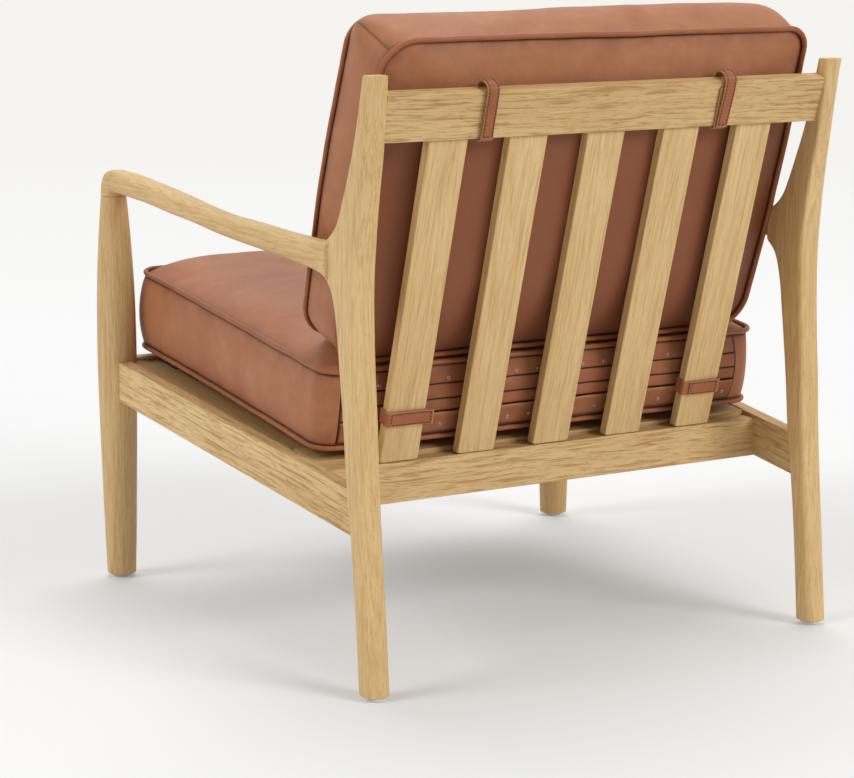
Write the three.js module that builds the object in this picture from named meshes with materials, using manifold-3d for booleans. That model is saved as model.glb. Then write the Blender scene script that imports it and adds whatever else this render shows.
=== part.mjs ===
import * as THREE from "three";
import { mergeVertices } from "three/addons/utils/BufferGeometryUtils.js";
import Module from "manifold-3d";

// An oak easy chair with two loose, piped leather cushions, in millimetres.
// X runs across the chair, Y from front to back and Z up from the floor.
// Before the last line moves it, the origin is on the floor midway between the front legs.

// Stance, seat plane and back plane
const frontLegSpan = 661;
const rearLegSpan = 600;
const legDepth = 617;
const railTopHeight = 285;
const seatTilt = THREE.MathUtils.degToRad(5.6);

// Gaps between fitted pieces, and the weld that joins equal corners
const fitGap = 0.3;
const softGap = 0.4;
const weldDistance = 0.0005;

// Foot glides: a plastic disc on a stem that is pressed into the leg
const glideDiameter = 23;
const glideHeight = 5;
const glideStemDiameter = 6;
const glideStemLength = 14;
const glideEdge = 1.2;

// Front legs, turned to a soft swell at the seat rails
const frontLegDiameter = 48.6;
const frontLegRowShares = [
  [0, 0.74],
  [0.11, 0.81],
  [0.22, 0.87],
  [0.41, 0.955],
  [0.57, 1],
  [0.68, 0.985],
  [0.78, 0.935],
  [0.89, 0.82],
  [1, 0.68],
];
const frontLegSquareness = 2.3;

// Rear legs: each row has the height, the front face, the rear face, the width and the squareness
const rearLegHeight = 677;
const rearLegWidth = 29;
const rearLegSweep = 80;
const rearLegRowShares = [
  [0, -0.183, 0.181, 1, 2.2],
  [0.09, -0.24, 0.105, 1, 2.4],
  [0.19, -0.318, 0.018, 1, 2.8],
  [0.27, -0.405, -0.055, 1, 3.2],
  [0.35, -0.505, -0.115, 1, 3.6],
  [0.43, -0.57, -0.155, 1, 3.8],
  [0.5, -0.645, -0.205, 1, 3.8],
  [0.56, -0.715, -0.238, 1, 3.8],
  [0.6, -0.765, -0.252, 1, 3.8],
  [0.628, -0.83, -0.257, 1, 3.8],
  [0.65, -0.93, -0.257, 1, 3.8],
  [0.662, -0.965, -0.254, 1, 3.8],
  [0.722, -0.955, -0.21, 0.985, 3.8],
  [0.74, -0.85, -0.188, 0.97, 3.8],
  [0.76, -0.735, -0.16, 0.95, 3.8],
  [0.79, -0.615, -0.11, 0.925, 3.8],
  [0.825, -0.49, -0.04, 0.895, 3.8],
  [0.87, -0.34, 0.05, 0.86, 3.8],
  [0.92, -0.21, 0.12, 0.82, 3.8],
  [0.96, -0.125, 0.17, 0.79, 3.8],
  [1, -0.045, 0.212, 0.76, 3.8],
];

// Arms: each row has the distance back, the drop, the thickness and the blend to the rear leg's width
const armTopHeight = 521.5;
const armThickness = 28;
const armWidth = 34;
const armDrop = 36;
const armRowShares = [
  [0.112, 0.014, 0.89, 0],
  [0.188, 0.085, 0.87, 0],
  [0.333, 0.296, 0.86, 0.02],
  [0.426, 0.437, 0.85, 0.08],
  [0.56, 0.637, 0.85, 0.25],
  [0.68, 0.725, 0.94, 0.45],
  [0.8, 0.825, 0.98, 0.65],
  [0.92, 0.91, 1.03, 0.88],
  [1, 1, 1, 1],
];
const armSquareness = 2.7;
const elbowInnerRadius = 5;
const elbowThicknessShare = 0.89;
const elbowRowShares = [
  [0, 1],
  [0.22, 1.06],
  [0.44, 1.08],
  [0.66, 0.96],
  [0.84, 0.83],
];

// Rails of the seat frame
const railHeight = 50;
const sideRailThickness = 18;
const backRailThickness = 22;
const backRailHeight = 47;
const backRailSetIn = 117;
const backRailRearFace = legDepth - backRailSetIn;
const backRailDrop = 4;
const frontRailThickness = 22;
const frontRailDrop = 5;

// Tenons, dowels and the walls that they leave
const tenonThickness = 8;
const tenonShoulder = 8;
const legTenonLength = 15;
const railTenonLength = 10;
const slatTenonLength = 14;
const slatTenonThickness = 6;
const slatTenonShoulder = 7;
const armTenonLength = 20;
const armTenonWidth = 11;
const dowelDiameter = 13;
const dowelLength = 15;

// Crest rail and back slats
const slatCount = 5;
const slatWidth = 48.7;
const slatPitch = 101.5;
const slatThickness = 12.5;
const crestHeight = 52.5;
const crestProud = 4.5;
const crestBelowLegTop = 21.1;
const crestBehindFoot = 7;

// Inner cleats and the elastic bands stapled across them
const cleatWidth = 58;
const cleatHeight = 30;
const cleatDrop = 3;
const bandCount = 7;
const bandWidth = 50;
const bandThickness = 1.8;
const bandSideMargin = 38;
const bandFrontMargin = 14;
const bandRearMargin = 8;

// Cushions: sizes are taken along the welts
const weltRadius = 3.4;
const seatCushionSideGap = 9.2;
const seatCushionWidth = frontLegSpan - frontLegDiameter - 2 * seatCushionSideGap;
const seatCushionSetIn = 119;
const seatCushionLength = legDepth - seatCushionSetIn;
const seatCushionBoxing = 92;
const seatCushionOverhang = 14;
const seatCushionCorner = 22;
const seatCushionDrawIn = 2;
const seatCushionRake = 10;
const seatCushionBulge = 7;
const seatCushionTopCrown = 34.5;
const seatCushionTopPower = 4;
const seatCushionCrownForward = 115;
const seatCushionBottomCrown = 17.2;
const backCushionSideGap = 4;
const backCushionWidth = rearLegSpan - rearLegWidth - 2 * backCushionSideGap;
const backCushionHeight = 372;
const backCushionBoxing = 78;
const backCushionCorner = 38;
const backCushionBow = 3;
const backCushionSideBulge = 4;
const backCushionTopBulge = 11;
const backCushionFrontCrown = 26;
const backCushionRearCrown = 28;
const cushionCrownPower = 3.2;
const crownRingShares = [0.25, 0.5, 0.68, 0.82, 0.92, 0.975];
const boxingRingShares = [0.12, 0.36, 0.64, 0.88];

// Rear panel of the seat cushion, with its sewn ridges
const panelSideMargin = 22;
const panelThickness = 1.6;
const panelRidge = 1.2;
const panelRowShares = [
  [0.05, 0],
  [0.2, 0],
  [0.25, 1],
  [0.3, 0],
  [0.46, 0],
  [0.5, 1],
  [0.54, 0],
  [0.7, 0],
  [0.74, 1],
  [0.78, 0],
  [0.95, 0],
];

// Leather straps: closed loops round the crest rail and the outer slats
const strapThickness = 2.4;
const strapBendRadius = 1.2;
const crestStrapWidth = 15;
const crestStrapOffset = 156;
const crestStrapSlack = 7;
const crestStrapArchRadius = 8.5;
const slatStrapWidth = 18;
const slatStrapHeight = 56;
const slatStrapLap = { left: 10, right: -4 };

// Colours and finishes
const oak = { color: 0xcda873, roughness: 0.55, metalness: 0 };
const leather = { color: 0x9b5f43, roughness: 0.5, metalness: 0 };
const leatherDark = { color: 0x8a4f36, roughness: 0.55, metalness: 0 };
const elastic = { color: 0x2b2724, roughness: 0.9, metalness: 0 };
const nylon = { color: 0xd9d7d0, roughness: 0.4, metalness: 0 };

// How finely the curved pieces are divided
const legSides = 16;
const armSides = 16;
const weltSides = 5;
const cornerSteps = 4;
const edgeSteps = 7;
const strapBendSteps = 4;
const footSteps = 40;

const wasm = await Module();
wasm.setup();

// Geometry helpers

function closedGeometry(points, triangles) {
  const a = new THREE.Vector3();
  const b = new THREE.Vector3();
  const c = new THREE.Vector3();
  let volume = 0;
  for (let i = 0; i < triangles.length; i += 3) {
    a.copy(points[triangles[i]]);
    b.copy(points[triangles[i + 1]]);
    c.copy(points[triangles[i + 2]]);
    volume += a.dot(b.cross(c));
  }
  const index = volume < 0 ? triangles.slice().reverse() : triangles;
  const geometry = new THREE.BufferGeometry().setFromPoints(points);
  geometry.setIndex(index);
  geometry.computeVertexNormals();
  return geometry;
}

function ringPoint(centre, halfWidth, halfDepth, squareness, angle) {
  const c = Math.cos(angle);
  const s = Math.sin(angle);
  const power = 2 / squareness;
  return centre
    .clone()
    .addScaledVector(halfWidth, Math.sign(c) * Math.abs(c) ** power)
    .addScaledVector(halfDepth, Math.sign(s) * Math.abs(s) ** power);
}

function superellipse(centre, halfWidth, halfDepth, squareness, sides) {
  const points = [];
  for (let i = 0; i < sides; i += 1) {
    const angle = (2 * Math.PI * i) / sides;
    points.push(ringPoint(centre, halfWidth, halfDepth, squareness, angle));
  }
  return points;
}

// Joins rings of equal count into one closed skin, with a fan over each end
function loft(rings) {
  const count = rings[0].length;
  const points = rings.flat();
  const triangles = [];
  for (let r = 0; r + 1 < rings.length; r += 1) {
    for (let i = 0; i < count; i += 1) {
      const j = (i + 1) % count;
      const a = r * count + i;
      const b = r * count + j;
      triangles.push(a, b, b + count, a, b + count, a + count);
    }
  }
  const last = (rings.length - 1) * count;
  for (let i = 1; i + 1 < count; i += 1) {
    triangles.push(0, i + 1, i, last, last + i, last + i + 1);
  }
  return closedGeometry(points, triangles);
}

function solidOf(geometry) {
  const bare = new THREE.BufferGeometry();
  bare.setAttribute("position", geometry.getAttribute("position"));
  bare.setIndex(geometry.getIndex());
  const welded = mergeVertices(bare, weldDistance);
  const vertProperties = Float32Array.from(welded.getAttribute("position").array);
  const triVerts = Uint32Array.from(welded.getIndex().array);
  return new wasm.Manifold(new wasm.Mesh({ numProp: 3, vertProperties, triVerts }));
}

function geometryOf(solid) {
  const mesh = solid.getMesh();
  const geometry = new THREE.BufferGeometry();
  const places = new THREE.BufferAttribute(mesh.vertProperties, 3);
  geometry.setAttribute("position", places);
  geometry.setIndex(new THREE.BufferAttribute(mesh.triVerts, 1));
  return geometry.toNonIndexed();
}

function joined(first, ...others) {
  return others.reduce((sum, other) => sum.add(other), first);
}

function cut(first, ...others) {
  return others.reduce((rest, other) => rest.subtract(other), first);
}

function box(low, high) {
  const size = new THREE.Vector3().subVectors(high, low);
  const middle = new THREE.Vector3().addVectors(low, high).multiplyScalar(1 / 2);
  return new THREE.BoxGeometry(size.x, size.y, size.z).translate(middle.x, middle.y, middle.z);
}

function grownBox(low, high, gap) {
  const grow = new THREE.Vector3(gap, gap, gap);
  return box(low.clone().sub(grow), high.clone().add(grow));
}

// A frame whose Y axis runs from start to end and whose Z axis is as upright as it can be
function barFrame(start, end) {
  const along = new THREE.Vector3().subVectors(end, start).normalize();
  const up = new THREE.Vector3(0, 0, 1);
  const across = new THREE.Vector3().crossVectors(along, up).normalize();
  const upright = new THREE.Vector3().crossVectors(across, along);
  return new THREE.Matrix4().makeBasis(across, along, upright).setPosition(start);
}

function meshOf(name, geometry, finish) {
  const mesh = new THREE.Mesh(geometry, new THREE.MeshStandardMaterial(finish));
  mesh.name = name;
  return mesh;
}

const sides = [
  { word: "left", sign: 1 },
  { word: "right", sign: -1 },
];

function legLineX(back, sign) {
  const inset = ((frontLegSpan - rearLegSpan) / 2) * (back / legDepth);
  return sign * (frontLegSpan / 2 - inset);
}

// Places on the tilted seat plane and on the leaning back plane, in the chair's frame
const seatFrame = new THREE.Matrix4()
  .makeRotationX(-seatTilt)
  .setPosition(0, 0, railTopHeight);
const backRailTop = railTopHeight - backRailRearFace * Math.tan(seatTilt) - backRailDrop;
const backRun = new THREE.Vector2(
  legDepth + crestBehindFoot - backRailRearFace,
  rearLegHeight - crestBelowLegTop - backRailTop,
);
const backLean = Math.atan2(backRun.x, backRun.y);
const slatLength = backRun.length() - crestHeight - fitGap;
const backFrame = new THREE.Matrix4()
  .makeRotationX(-backLean)
  .setPosition(0, backRailRearFace, backRailTop);

function seatPoint(x, y, z) {
  return new THREE.Vector3(x, y, z).applyMatrix4(seatFrame);
}

// Front legs

const elbowPivotBack = (frontLegDiameter * frontLegRowShares.at(-1)[1]) / 2 + elbowInnerRadius;
const elbowThickness = armThickness * elbowThicknessShare;
const elbowPivotHeight = armTopHeight - elbowThickness - elbowInnerRadius;
const frontLegTop = elbowPivotHeight - fitGap;

function frontLegSkin(sign, gap) {
  const rings = frontLegRowShares.map(([heightShare, diameterShare]) => {
    const z = glideHeight + heightShare * (frontLegTop - glideHeight);
    const radius = (frontLegDiameter * diameterShare) / 2 + gap;
    const centre = new THREE.Vector3(legLineX(0, sign), 0, z);
    const halfWidth = new THREE.Vector3(radius, 0, 0);
    const halfDepth = new THREE.Vector3(0, radius, 0);
    return superellipse(centre, halfWidth, halfDepth, frontLegSquareness, legSides);
  });
  return solidOf(loft(rings));
}

function stem(x, y, bottom, length, diameter) {
  const geometry = new THREE.CylinderGeometry(diameter / 2, diameter / 2, length, legSides);
  geometry.rotateX(Math.PI / 2).translate(x, y, bottom + length / 2);
  return solidOf(geometry);
}

function glideBore(x, y) {
  return stem(x, y, 0, glideHeight + glideStemLength + fitGap, glideStemDiameter + 2 * fitGap);
}

// Rear legs

function rearLegRing([heightShare, frontShare, rearShare, widthShare, squareness], sign, gap) {
  const z = glideHeight + heightShare * (rearLegHeight - glideHeight);
  const front = legDepth + frontShare * rearLegSweep - gap;
  const rear = legDepth + rearShare * rearLegSweep + gap;
  const centre = new THREE.Vector3((sign * rearLegSpan) / 2, (front + rear) / 2, z);
  const halfWidth = new THREE.Vector3((rearLegWidth * widthShare) / 2 + gap, 0, 0);
  const halfDepth = new THREE.Vector3(0, (rear - front) / 2, 0);
  return superellipse(centre, halfWidth, halfDepth, squareness, legSides);
}

function rearLegSkin(sign, gap) {
  const rings = rearLegRowShares.map((row) => rearLegRing(row, sign, gap));
  return solidOf(loft(rings));
}

// Arms

const armRun = legDepth - rearLegSweep;
const armCentreHeight = armTopHeight - elbowThickness / 2;

function armCentre(back, dropShare, sign) {
  return new THREE.Vector3(legLineX(back, sign), back, armCentreHeight - dropShare * armDrop);
}

function armRing([backShare, dropShare, thicknessShare, blendShare], sign) {
  const width = THREE.MathUtils.lerp(armWidth, rearLegWidth, blendShare);
  const centre = armCentre(backShare * armRun - fitGap, dropShare, sign);
  const halfWidth = new THREE.Vector3(width / 2, 0, 0);
  const halfDepth = new THREE.Vector3(0, 0, (armThickness * thicknessShare) / 2);
  return superellipse(centre, halfWidth, halfDepth, armSquareness, armSides);
}

// The elbow turns about a point below and behind it, so its inner corner is a small hollow curve
function elbowRing([turnShare, reachShare], sign) {
  const angle = (turnShare * Math.PI) / 2;
  const direction = new THREE.Vector3(0, -Math.cos(angle), Math.sin(angle));
  const reach = frontLegDiameter * frontLegRowShares.at(-1)[1] * reachShare;
  const pivot = new THREE.Vector3(legLineX(0, sign), elbowPivotBack, elbowPivotHeight);
  const centre = pivot.addScaledVector(direction, elbowInnerRadius + reach / 2);
  const halfDepth = direction.multiplyScalar(reach / 2);
  const legTopWidth = frontLegDiameter * frontLegRowShares.at(-1)[1];
  const width = THREE.MathUtils.lerp(legTopWidth, armWidth, turnShare);
  const halfWidth = new THREE.Vector3(width / 2, 0, 0);
  return superellipse(centre, halfWidth, halfDepth, armSquareness, armSides);
}

function elbowEndRing(sign) {
  const centre = armCentre(elbowPivotBack, 0, sign);
  const halfWidth = new THREE.Vector3(armWidth / 2, 0, 0);
  const halfDepth = new THREE.Vector3(0, 0, elbowThickness / 2);
  return superellipse(centre, halfWidth, halfDepth, armSquareness, armSides);
}

function armSkin(sign) {
  const elbow = elbowRowShares.map((row) => elbowRing(row, sign));
  const run = armRowShares.map((row) => armRing(row, sign));
  return solidOf(loft([...elbow, elbowEndRing(sign), ...run]));
}

function armEndFrame(sign) {
  const end = armCentre(armRun, 1, sign);
  const beyond = armCentre(legDepth, 1, sign);
  return barFrame(end, beyond);
}

// The spur carries the arm's last section back into the rear leg
function spurSkin(sign) {
  const front = armCentre(armRun, 1, sign);
  const rear = armCentre(legDepth - rearLegSweep / 2, 1, sign).setX(front.x);
  const halfWidth = new THREE.Vector3(rearLegWidth / 2, 0, 0);
  const halfDepth = new THREE.Vector3(0, 0, armThickness / 2);
  const rings = [front, rear].map((centre) =>
    superellipse(centre, halfWidth, halfDepth, armSquareness, armSides),
  );
  return solidOf(loft(rings));
}

function armTenon(sign, gap) {
  const half = armTenonWidth / 2;
  const low = new THREE.Vector3(-half, -tenonShoulder, -half);
  const high = new THREE.Vector3(half, armTenonLength, half);
  return solidOf(grownBox(low, high, gap).applyMatrix4(armEndFrame(sign)));
}

function elbowDowel(sign, gap) {
  const bottom = frontLegTop - tenonShoulder;
  const length = tenonShoulder + dowelLength + gap;
  return stem(legLineX(0, sign), 0, bottom, length, dowelDiameter + 2 * gap);
}

// Side rails run down to the back along the seat plane, from front leg to rear leg

const railEnd = legDepth - rearLegSweep / 4;

function sideRailFrame(sign) {
  const start = new THREE.Vector3(legLineX(0, sign), 0, railTopHeight);
  const end = seatPoint(legLineX(railEnd, sign), railEnd, 0);
  return barFrame(start, end);
}

function sideRailBar(sign, gap) {
  const half = sideRailThickness / 2;
  const low = new THREE.Vector3(-half, 0, -railHeight);
  const high = new THREE.Vector3(half, railEnd, 0);
  return solidOf(grownBox(low, high, gap).applyMatrix4(sideRailFrame(sign)));
}

// The rear leg's front face at a height, between the rows of its profile
function rearLegFrontAt(height) {
  const share = (height - glideHeight) / (rearLegHeight - glideHeight);
  const upper = rearLegRowShares.findIndex(([heightShare]) => heightShare > share);
  const [lowShare, lowFront] = rearLegRowShares[upper - 1];
  const [highShare, highFront] = rearLegRowShares[upper];
  const front = THREE.MathUtils.mapLinear(share, lowShare, highShare, lowFront, highFront);
  return legDepth + front * rearLegSweep;
}

const rearLegFrontAtRail = rearLegFrontAt(seatPoint(0, legDepth, -railHeight / 2).z);

function sideRailTenons(sign, gap) {
  const half = tenonThickness / 2;
  const frontEnd = frontLegDiameter / 2 - legTenonLength;
  const rearEnd = rearLegFrontAtRail + legTenonLength;
  const low = new THREE.Vector3(-half, frontEnd, tenonShoulder - railHeight);
  const high = new THREE.Vector3(half, rearEnd, -tenonShoulder);
  return solidOf(grownBox(low, high, gap).applyMatrix4(sideRailFrame(sign)));
}

// Front rail between the front legs

const frontRailTop = railTopHeight - frontRailDrop;

function frontRailBar() {
  const half = frontRailThickness / 2;
  const reach = frontLegSpan / 2;
  const low = new THREE.Vector3(-reach, -half, frontRailTop - railHeight);
  return solidOf(box(low, new THREE.Vector3(reach, half, frontRailTop)));
}

function frontRailTenons(gap) {
  const half = tenonThickness / 2;
  const reach = frontLegSpan / 2 - frontLegDiameter / 2 + legTenonLength;
  const low = new THREE.Vector3(-reach, -half, frontRailTop - railHeight + tenonShoulder);
  const high = new THREE.Vector3(reach, half, frontRailTop - tenonShoulder);
  return solidOf(grownBox(low, high, gap));
}

// Back rail between the side rails

const backRailMiddle = backRailRearFace - backRailThickness / 2;

function backRailBar() {
  const reach = legLineX(backRailMiddle, 1);
  const low = new THREE.Vector3(
    -reach,
    backRailRearFace - backRailThickness,
    backRailTop - backRailHeight,
  );
  return solidOf(box(low, new THREE.Vector3(reach, backRailRearFace, backRailTop)));
}

function backRailTenons(gap) {
  const half = tenonThickness / 2;
  const reach = legLineX(backRailMiddle, 1) - sideRailThickness / 2 + railTenonLength;
  const low = new THREE.Vector3(
    -reach,
    backRailMiddle - half,
    backRailTop - backRailHeight + tenonShoulder,
  );
  const high = new THREE.Vector3(reach, backRailMiddle + half, backRailTop - tenonShoulder);
  return solidOf(grownBox(low, high, gap));
}

// Slats stand on the back rail, rear faces flush, and lean with the back plane

function slatPlaces() {
  const places = [];
  for (let i = 0; i < slatCount; i += 1) {
    places.push(((slatCount - 1) / 2 - i) * slatPitch);
  }
  return places;
}

function slatTenons(gap) {
  const half = slatWidth / 2 - slatTenonShoulder;
  const middle = -slatThickness / 2;
  const halfThickness = slatTenonThickness / 2;
  const drop = slatThickness * Math.tan(backLean);
  const low = new THREE.Vector3(-half, middle - halfThickness, -drop - slatTenonLength);
  const high = new THREE.Vector3(half, middle + halfThickness, slatLength + slatTenonLength);
  return grownBox(low, high, gap);
}

function slatGeometry() {
  const drop = slatThickness * Math.tan(backLean);
  const gap = fitGap / Math.cos(backLean);
  const half = slatWidth / 2;
  const profile = new THREE.Shape([
    new THREE.Vector2(0, gap),
    new THREE.Vector2(0, slatLength),
    new THREE.Vector2(-slatThickness, slatLength),
    new THREE.Vector2(-slatThickness, gap - drop),
  ]);
  const board = new THREE.ExtrudeGeometry(profile, { depth: slatWidth, bevelEnabled: false });
  const axes = new THREE.Matrix4().makeBasis(
    new THREE.Vector3(0, 1, 0),
    new THREE.Vector3(0, 0, 1),
    new THREE.Vector3(1, 0, 0),
  );
  board.applyMatrix4(axes).translate(-half, 0, 0);
  return geometryOf(joined(solidOf(board), solidOf(slatTenons(0))));
}

function slatMortises() {
  return slatPlaces().map((x) => {
    const tenon = slatTenons(fitGap).translate(x, 0, 0).applyMatrix4(backFrame);
    return solidOf(tenon);
  });
}

// Crest rail between the rear legs

const crestMiddle = slatLength + fitGap + crestHeight / 2;

function crestBar() {
  const reach = rearLegSpan / 2;
  const low = new THREE.Vector3(-reach, -slatThickness, slatLength + fitGap);
  const high = new THREE.Vector3(reach, crestProud, slatLength + fitGap + crestHeight);
  return solidOf(box(low, high).applyMatrix4(backFrame));
}

function crestTenons(gap) {
  const reach = (rearLegSpan - rearLegWidth) / 2 + railTenonLength;
  const middle = (crestProud - slatThickness) / 2;
  const halfThickness = tenonThickness / 2;
  const halfHeight = crestHeight / 2 - tenonShoulder;
  const low = new THREE.Vector3(-reach, middle - halfThickness, crestMiddle - halfHeight);
  const high = new THREE.Vector3(reach, middle + halfThickness, crestMiddle + halfHeight);
  return solidOf(grownBox(low, high, gap).applyMatrix4(backFrame));
}

// Cleats inside the seat frame

const cleatFront = frontRailThickness / 2 + fitGap;
const rearCleatRear = backRailRearFace - backRailThickness - fitGap;
const sideCleatEnd = rearCleatRear - cleatWidth - fitGap;

function sideCleatBar(sign) {
  const outer = sideRailThickness / 2 + fitGap;
  const low = new THREE.Vector3(-outer - cleatWidth, 0, -cleatDrop - cleatHeight);
  const high = new THREE.Vector3(-outer, legDepth, -cleatDrop);
  if (sign < 0) {
    [low.x, high.x] = [-high.x, -low.x];
  }
  return solidOf(box(low, high).applyMatrix4(sideRailFrame(sign)));
}

function cleatWindow() {
  const reach = frontLegSpan;
  const low = new THREE.Vector3(-reach, cleatFront, 0);
  return solidOf(box(low, new THREE.Vector3(reach, sideCleatEnd, rearLegHeight)));
}

function rearCleatBar() {
  const reach = legLineX(rearCleatRear, 1);
  const low = new THREE.Vector3(-reach, rearCleatRear - cleatWidth, backRailTop - cleatHeight);
  return solidOf(box(low, new THREE.Vector3(reach, rearCleatRear, backRailTop)));
}

// Elastic bands, each as long as the seat is wide there

function bandMeshes() {
  const first = cleatFront + bandFrontMargin + bandWidth / 2;
  const last = sideCleatEnd - bandRearMargin - bandWidth / 2;
  const meshes = [];
  for (let i = 0; i < bandCount; i += 1) {
    const back = THREE.MathUtils.lerp(first, last, i / (bandCount - 1));
    const rear = back + bandWidth / 2;
    const reach = legLineX(rear, 1) - sideRailThickness / 2 - bandSideMargin;
    const geometry = new THREE.BoxGeometry(2 * reach, bandWidth, bandThickness);
    const mesh = meshOf("seat_band_" + (i + 1), geometry, elastic);
    mesh.position.set(0, back / Math.cos(seatTilt), bandThickness / 2 + fitGap - cleatDrop);
    meshes.push(mesh);
  }
  return meshes;
}

// Cushions. The outline runs round the panel's edge: corner arcs, and edges drawn in between them.

function cushionOutline(width, length, corner, drawInAt) {
  const points = [];
  const halfWidth = width / 2 - corner;
  const halfLength = length / 2 - corner;
  const corners = [
    [1, 1],
    [-1, 1],
    [-1, -1],
    [1, -1],
  ];
  corners.forEach(([signX, signY], quarter) => {
    for (let i = 0; i <= cornerSteps; i += 1) {
      const angle = ((quarter + i / cornerSteps) * Math.PI) / 2;
      const normal = new THREE.Vector2(Math.cos(angle), Math.sin(angle));
      const place = new THREE.Vector2(signX * halfWidth, signY * halfLength);
      points.push({ place: place.addScaledVector(normal, corner), normal });
    }
    const [nextX, nextY] = corners[(quarter + 1) % corners.length];
    const angle = ((quarter + 1) * Math.PI) / 2;
    const normal = new THREE.Vector2(Math.cos(angle), Math.sin(angle));
    const start = new THREE.Vector2(signX * halfWidth, signY * halfLength);
    const end = new THREE.Vector2(nextX * halfWidth, nextY * halfLength);
    for (let i = 1; i < edgeSteps; i += 1) {
      const share = i / edgeSteps;
      const place = new THREE.Vector2().lerpVectors(start, end, share);
      const drawn = corner - drawInAt(normal) * Math.sin(Math.PI * share);
      points.push({ place: place.addScaledVector(normal, drawn), normal });
    }
  });
  return points;
}

// How much of the crown is reached at a share of the way from its highest point to the edge
function crownShare(edgeShare, power) {
  return 1 - edgeShare ** power;
}

// A cushion's faces stand back from its welts, which take the corners
const weltSeat = (weltRadius + softGap) / Math.SQRT2;

class Cushion {
  constructor({ width, length, boxing, corner, drawInAt, rake, bulgeAt, top, bottom }) {
    this.halfLength = length / 2 - weltSeat;
    this.height = boxing - 2 * weltSeat;
    this.outline = cushionOutline(width - 2 * weltSeat, 2 * this.halfLength, corner, drawInAt);
    this.rake = rake;
    this.bulgeAt = bulgeAt;
    this.top = top;
    this.bottom = bottom;
  }

  // The rear half leans back as it rises, by the rake at the rear edge of the top
  raked(x, y, z) {
    const rise = THREE.MathUtils.clamp((z - weltSeat) / this.height, 0, 1);
    return new THREE.Vector3(x, y + this.rake * rise * Math.max(0, y / this.halfLength), z);
  }

  // A point on the boxing, at a share of its height, and out from it by some distance
  boxingPoint({ place, normal }, share, out) {
    const bulge = this.bulgeAt(normal) * Math.sin(Math.PI * share);
    const flat = place.clone().addScaledVector(normal, bulge + out);
    return this.raked(flat.x, flat.y, weltSeat + share * this.height);
  }

  // A ring of a panel, at a share of the way from the crown's highest point to the edge
  panelRing(share, { crown, power, forward }, level) {
    const z = level + crown * crownShare(share, power);
    const middle = -forward * (1 - share);
    return this.outline.map(({ place }) => this.raked(place.x * share, place.y * share + middle, z));
  }

  geometry() {
    const low = weltSeat;
    const high = weltSeat + this.height;
    const bottom = crownRingShares.map((share) => this.panelRing(share, this.bottom, low));
    const top = crownRingShares.map((share) => this.panelRing(share, this.top, high)).reverse();
    const boxing = [0, ...boxingRingShares, 1].map((share) =>
      this.outline.map((point) => this.boxingPoint(point, share, 0)),
    );
    const rings = [...bottom, ...boxing, ...top];
    const count = this.outline.length;
    const points = rings.flat();
    const triangles = [];
    for (let r = 0; r + 1 < rings.length; r += 1) {
      for (let i = 0; i < count; i += 1) {
        const a = r * count + i;
        const b = r * count + ((i + 1) % count);
        triangles.push(a, b, b + count, a, b + count, a + count);
      }
    }
    const last = (rings.length - 1) * count;
    const under = points.push(this.panelRing(0, this.bottom, low)[0]) - 1;
    const over = points.push(this.panelRing(0, this.top, high)[0]) - 1;
    for (let i = 0; i < count; i += 1) {
      const j = (i + 1) % count;
      triangles.push(under, j, i, over, last + i, last + j);
    }
    return closedGeometry(points, triangles);
  }

  // The welt lies in the corner between a panel and the boxing
  welt(top) {
    const z = top ? 2 * weltSeat + this.height : 0;
    const path = this.outline.map(({ place, normal }) => {
      const flat = place.clone().addScaledVector(normal, weltSeat);
      return { middle: this.raked(flat.x, flat.y, z), normal };
    });
    const points = [];
    const triangles = [];
    path.forEach(({ middle, normal }, i) => {
      for (let k = 0; k < weltSides; k += 1) {
        const angle = (2 * Math.PI * k) / weltSides;
        const out = weltRadius * Math.cos(angle);
        const up = weltRadius * Math.sin(angle);
        points.push(
          new THREE.Vector3(middle.x + normal.x * out, middle.y + normal.y * out, middle.z + up),
        );
        const a = i * weltSides + k;
        const b = i * weltSides + ((k + 1) % weltSides);
        const c = ((i + 1) % path.length) * weltSides + k;
        const d = ((i + 1) % path.length) * weltSides + ((k + 1) % weltSides);
        triangles.push(a, b, d, a, d, c);
      }
    });
    return closedGeometry(points, triangles);
  }
}

const seatCushion = new Cushion({
  width: seatCushionWidth,
  length: seatCushionLength,
  boxing: seatCushionBoxing,
  corner: seatCushionCorner,
  drawInAt: () => seatCushionDrawIn,
  rake: seatCushionRake,
  bulgeAt: () => seatCushionBulge,
  top: {
    crown: seatCushionTopCrown,
    power: seatCushionTopPower,
    forward: seatCushionCrownForward,
  },
  bottom: { crown: -seatCushionBottomCrown, power: cushionCrownPower, forward: 0 },
});
const backCushion = new Cushion({
  width: backCushionWidth,
  length: backCushionHeight,
  boxing: backCushionBoxing,
  corner: backCushionCorner,
  drawInAt: (normal) => -backCushionBow * Math.abs(normal.x),
  rake: 0,
  bulgeAt: ({ x, y }) => backCushionSideBulge * x ** 2 + backCushionTopBulge * Math.max(0, y) ** 2,
  top: { crown: backCushionFrontCrown, power: cushionCrownPower, forward: 0 },
  bottom: { crown: -backCushionRearCrown, power: cushionCrownPower, forward: 0 },
});

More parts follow.
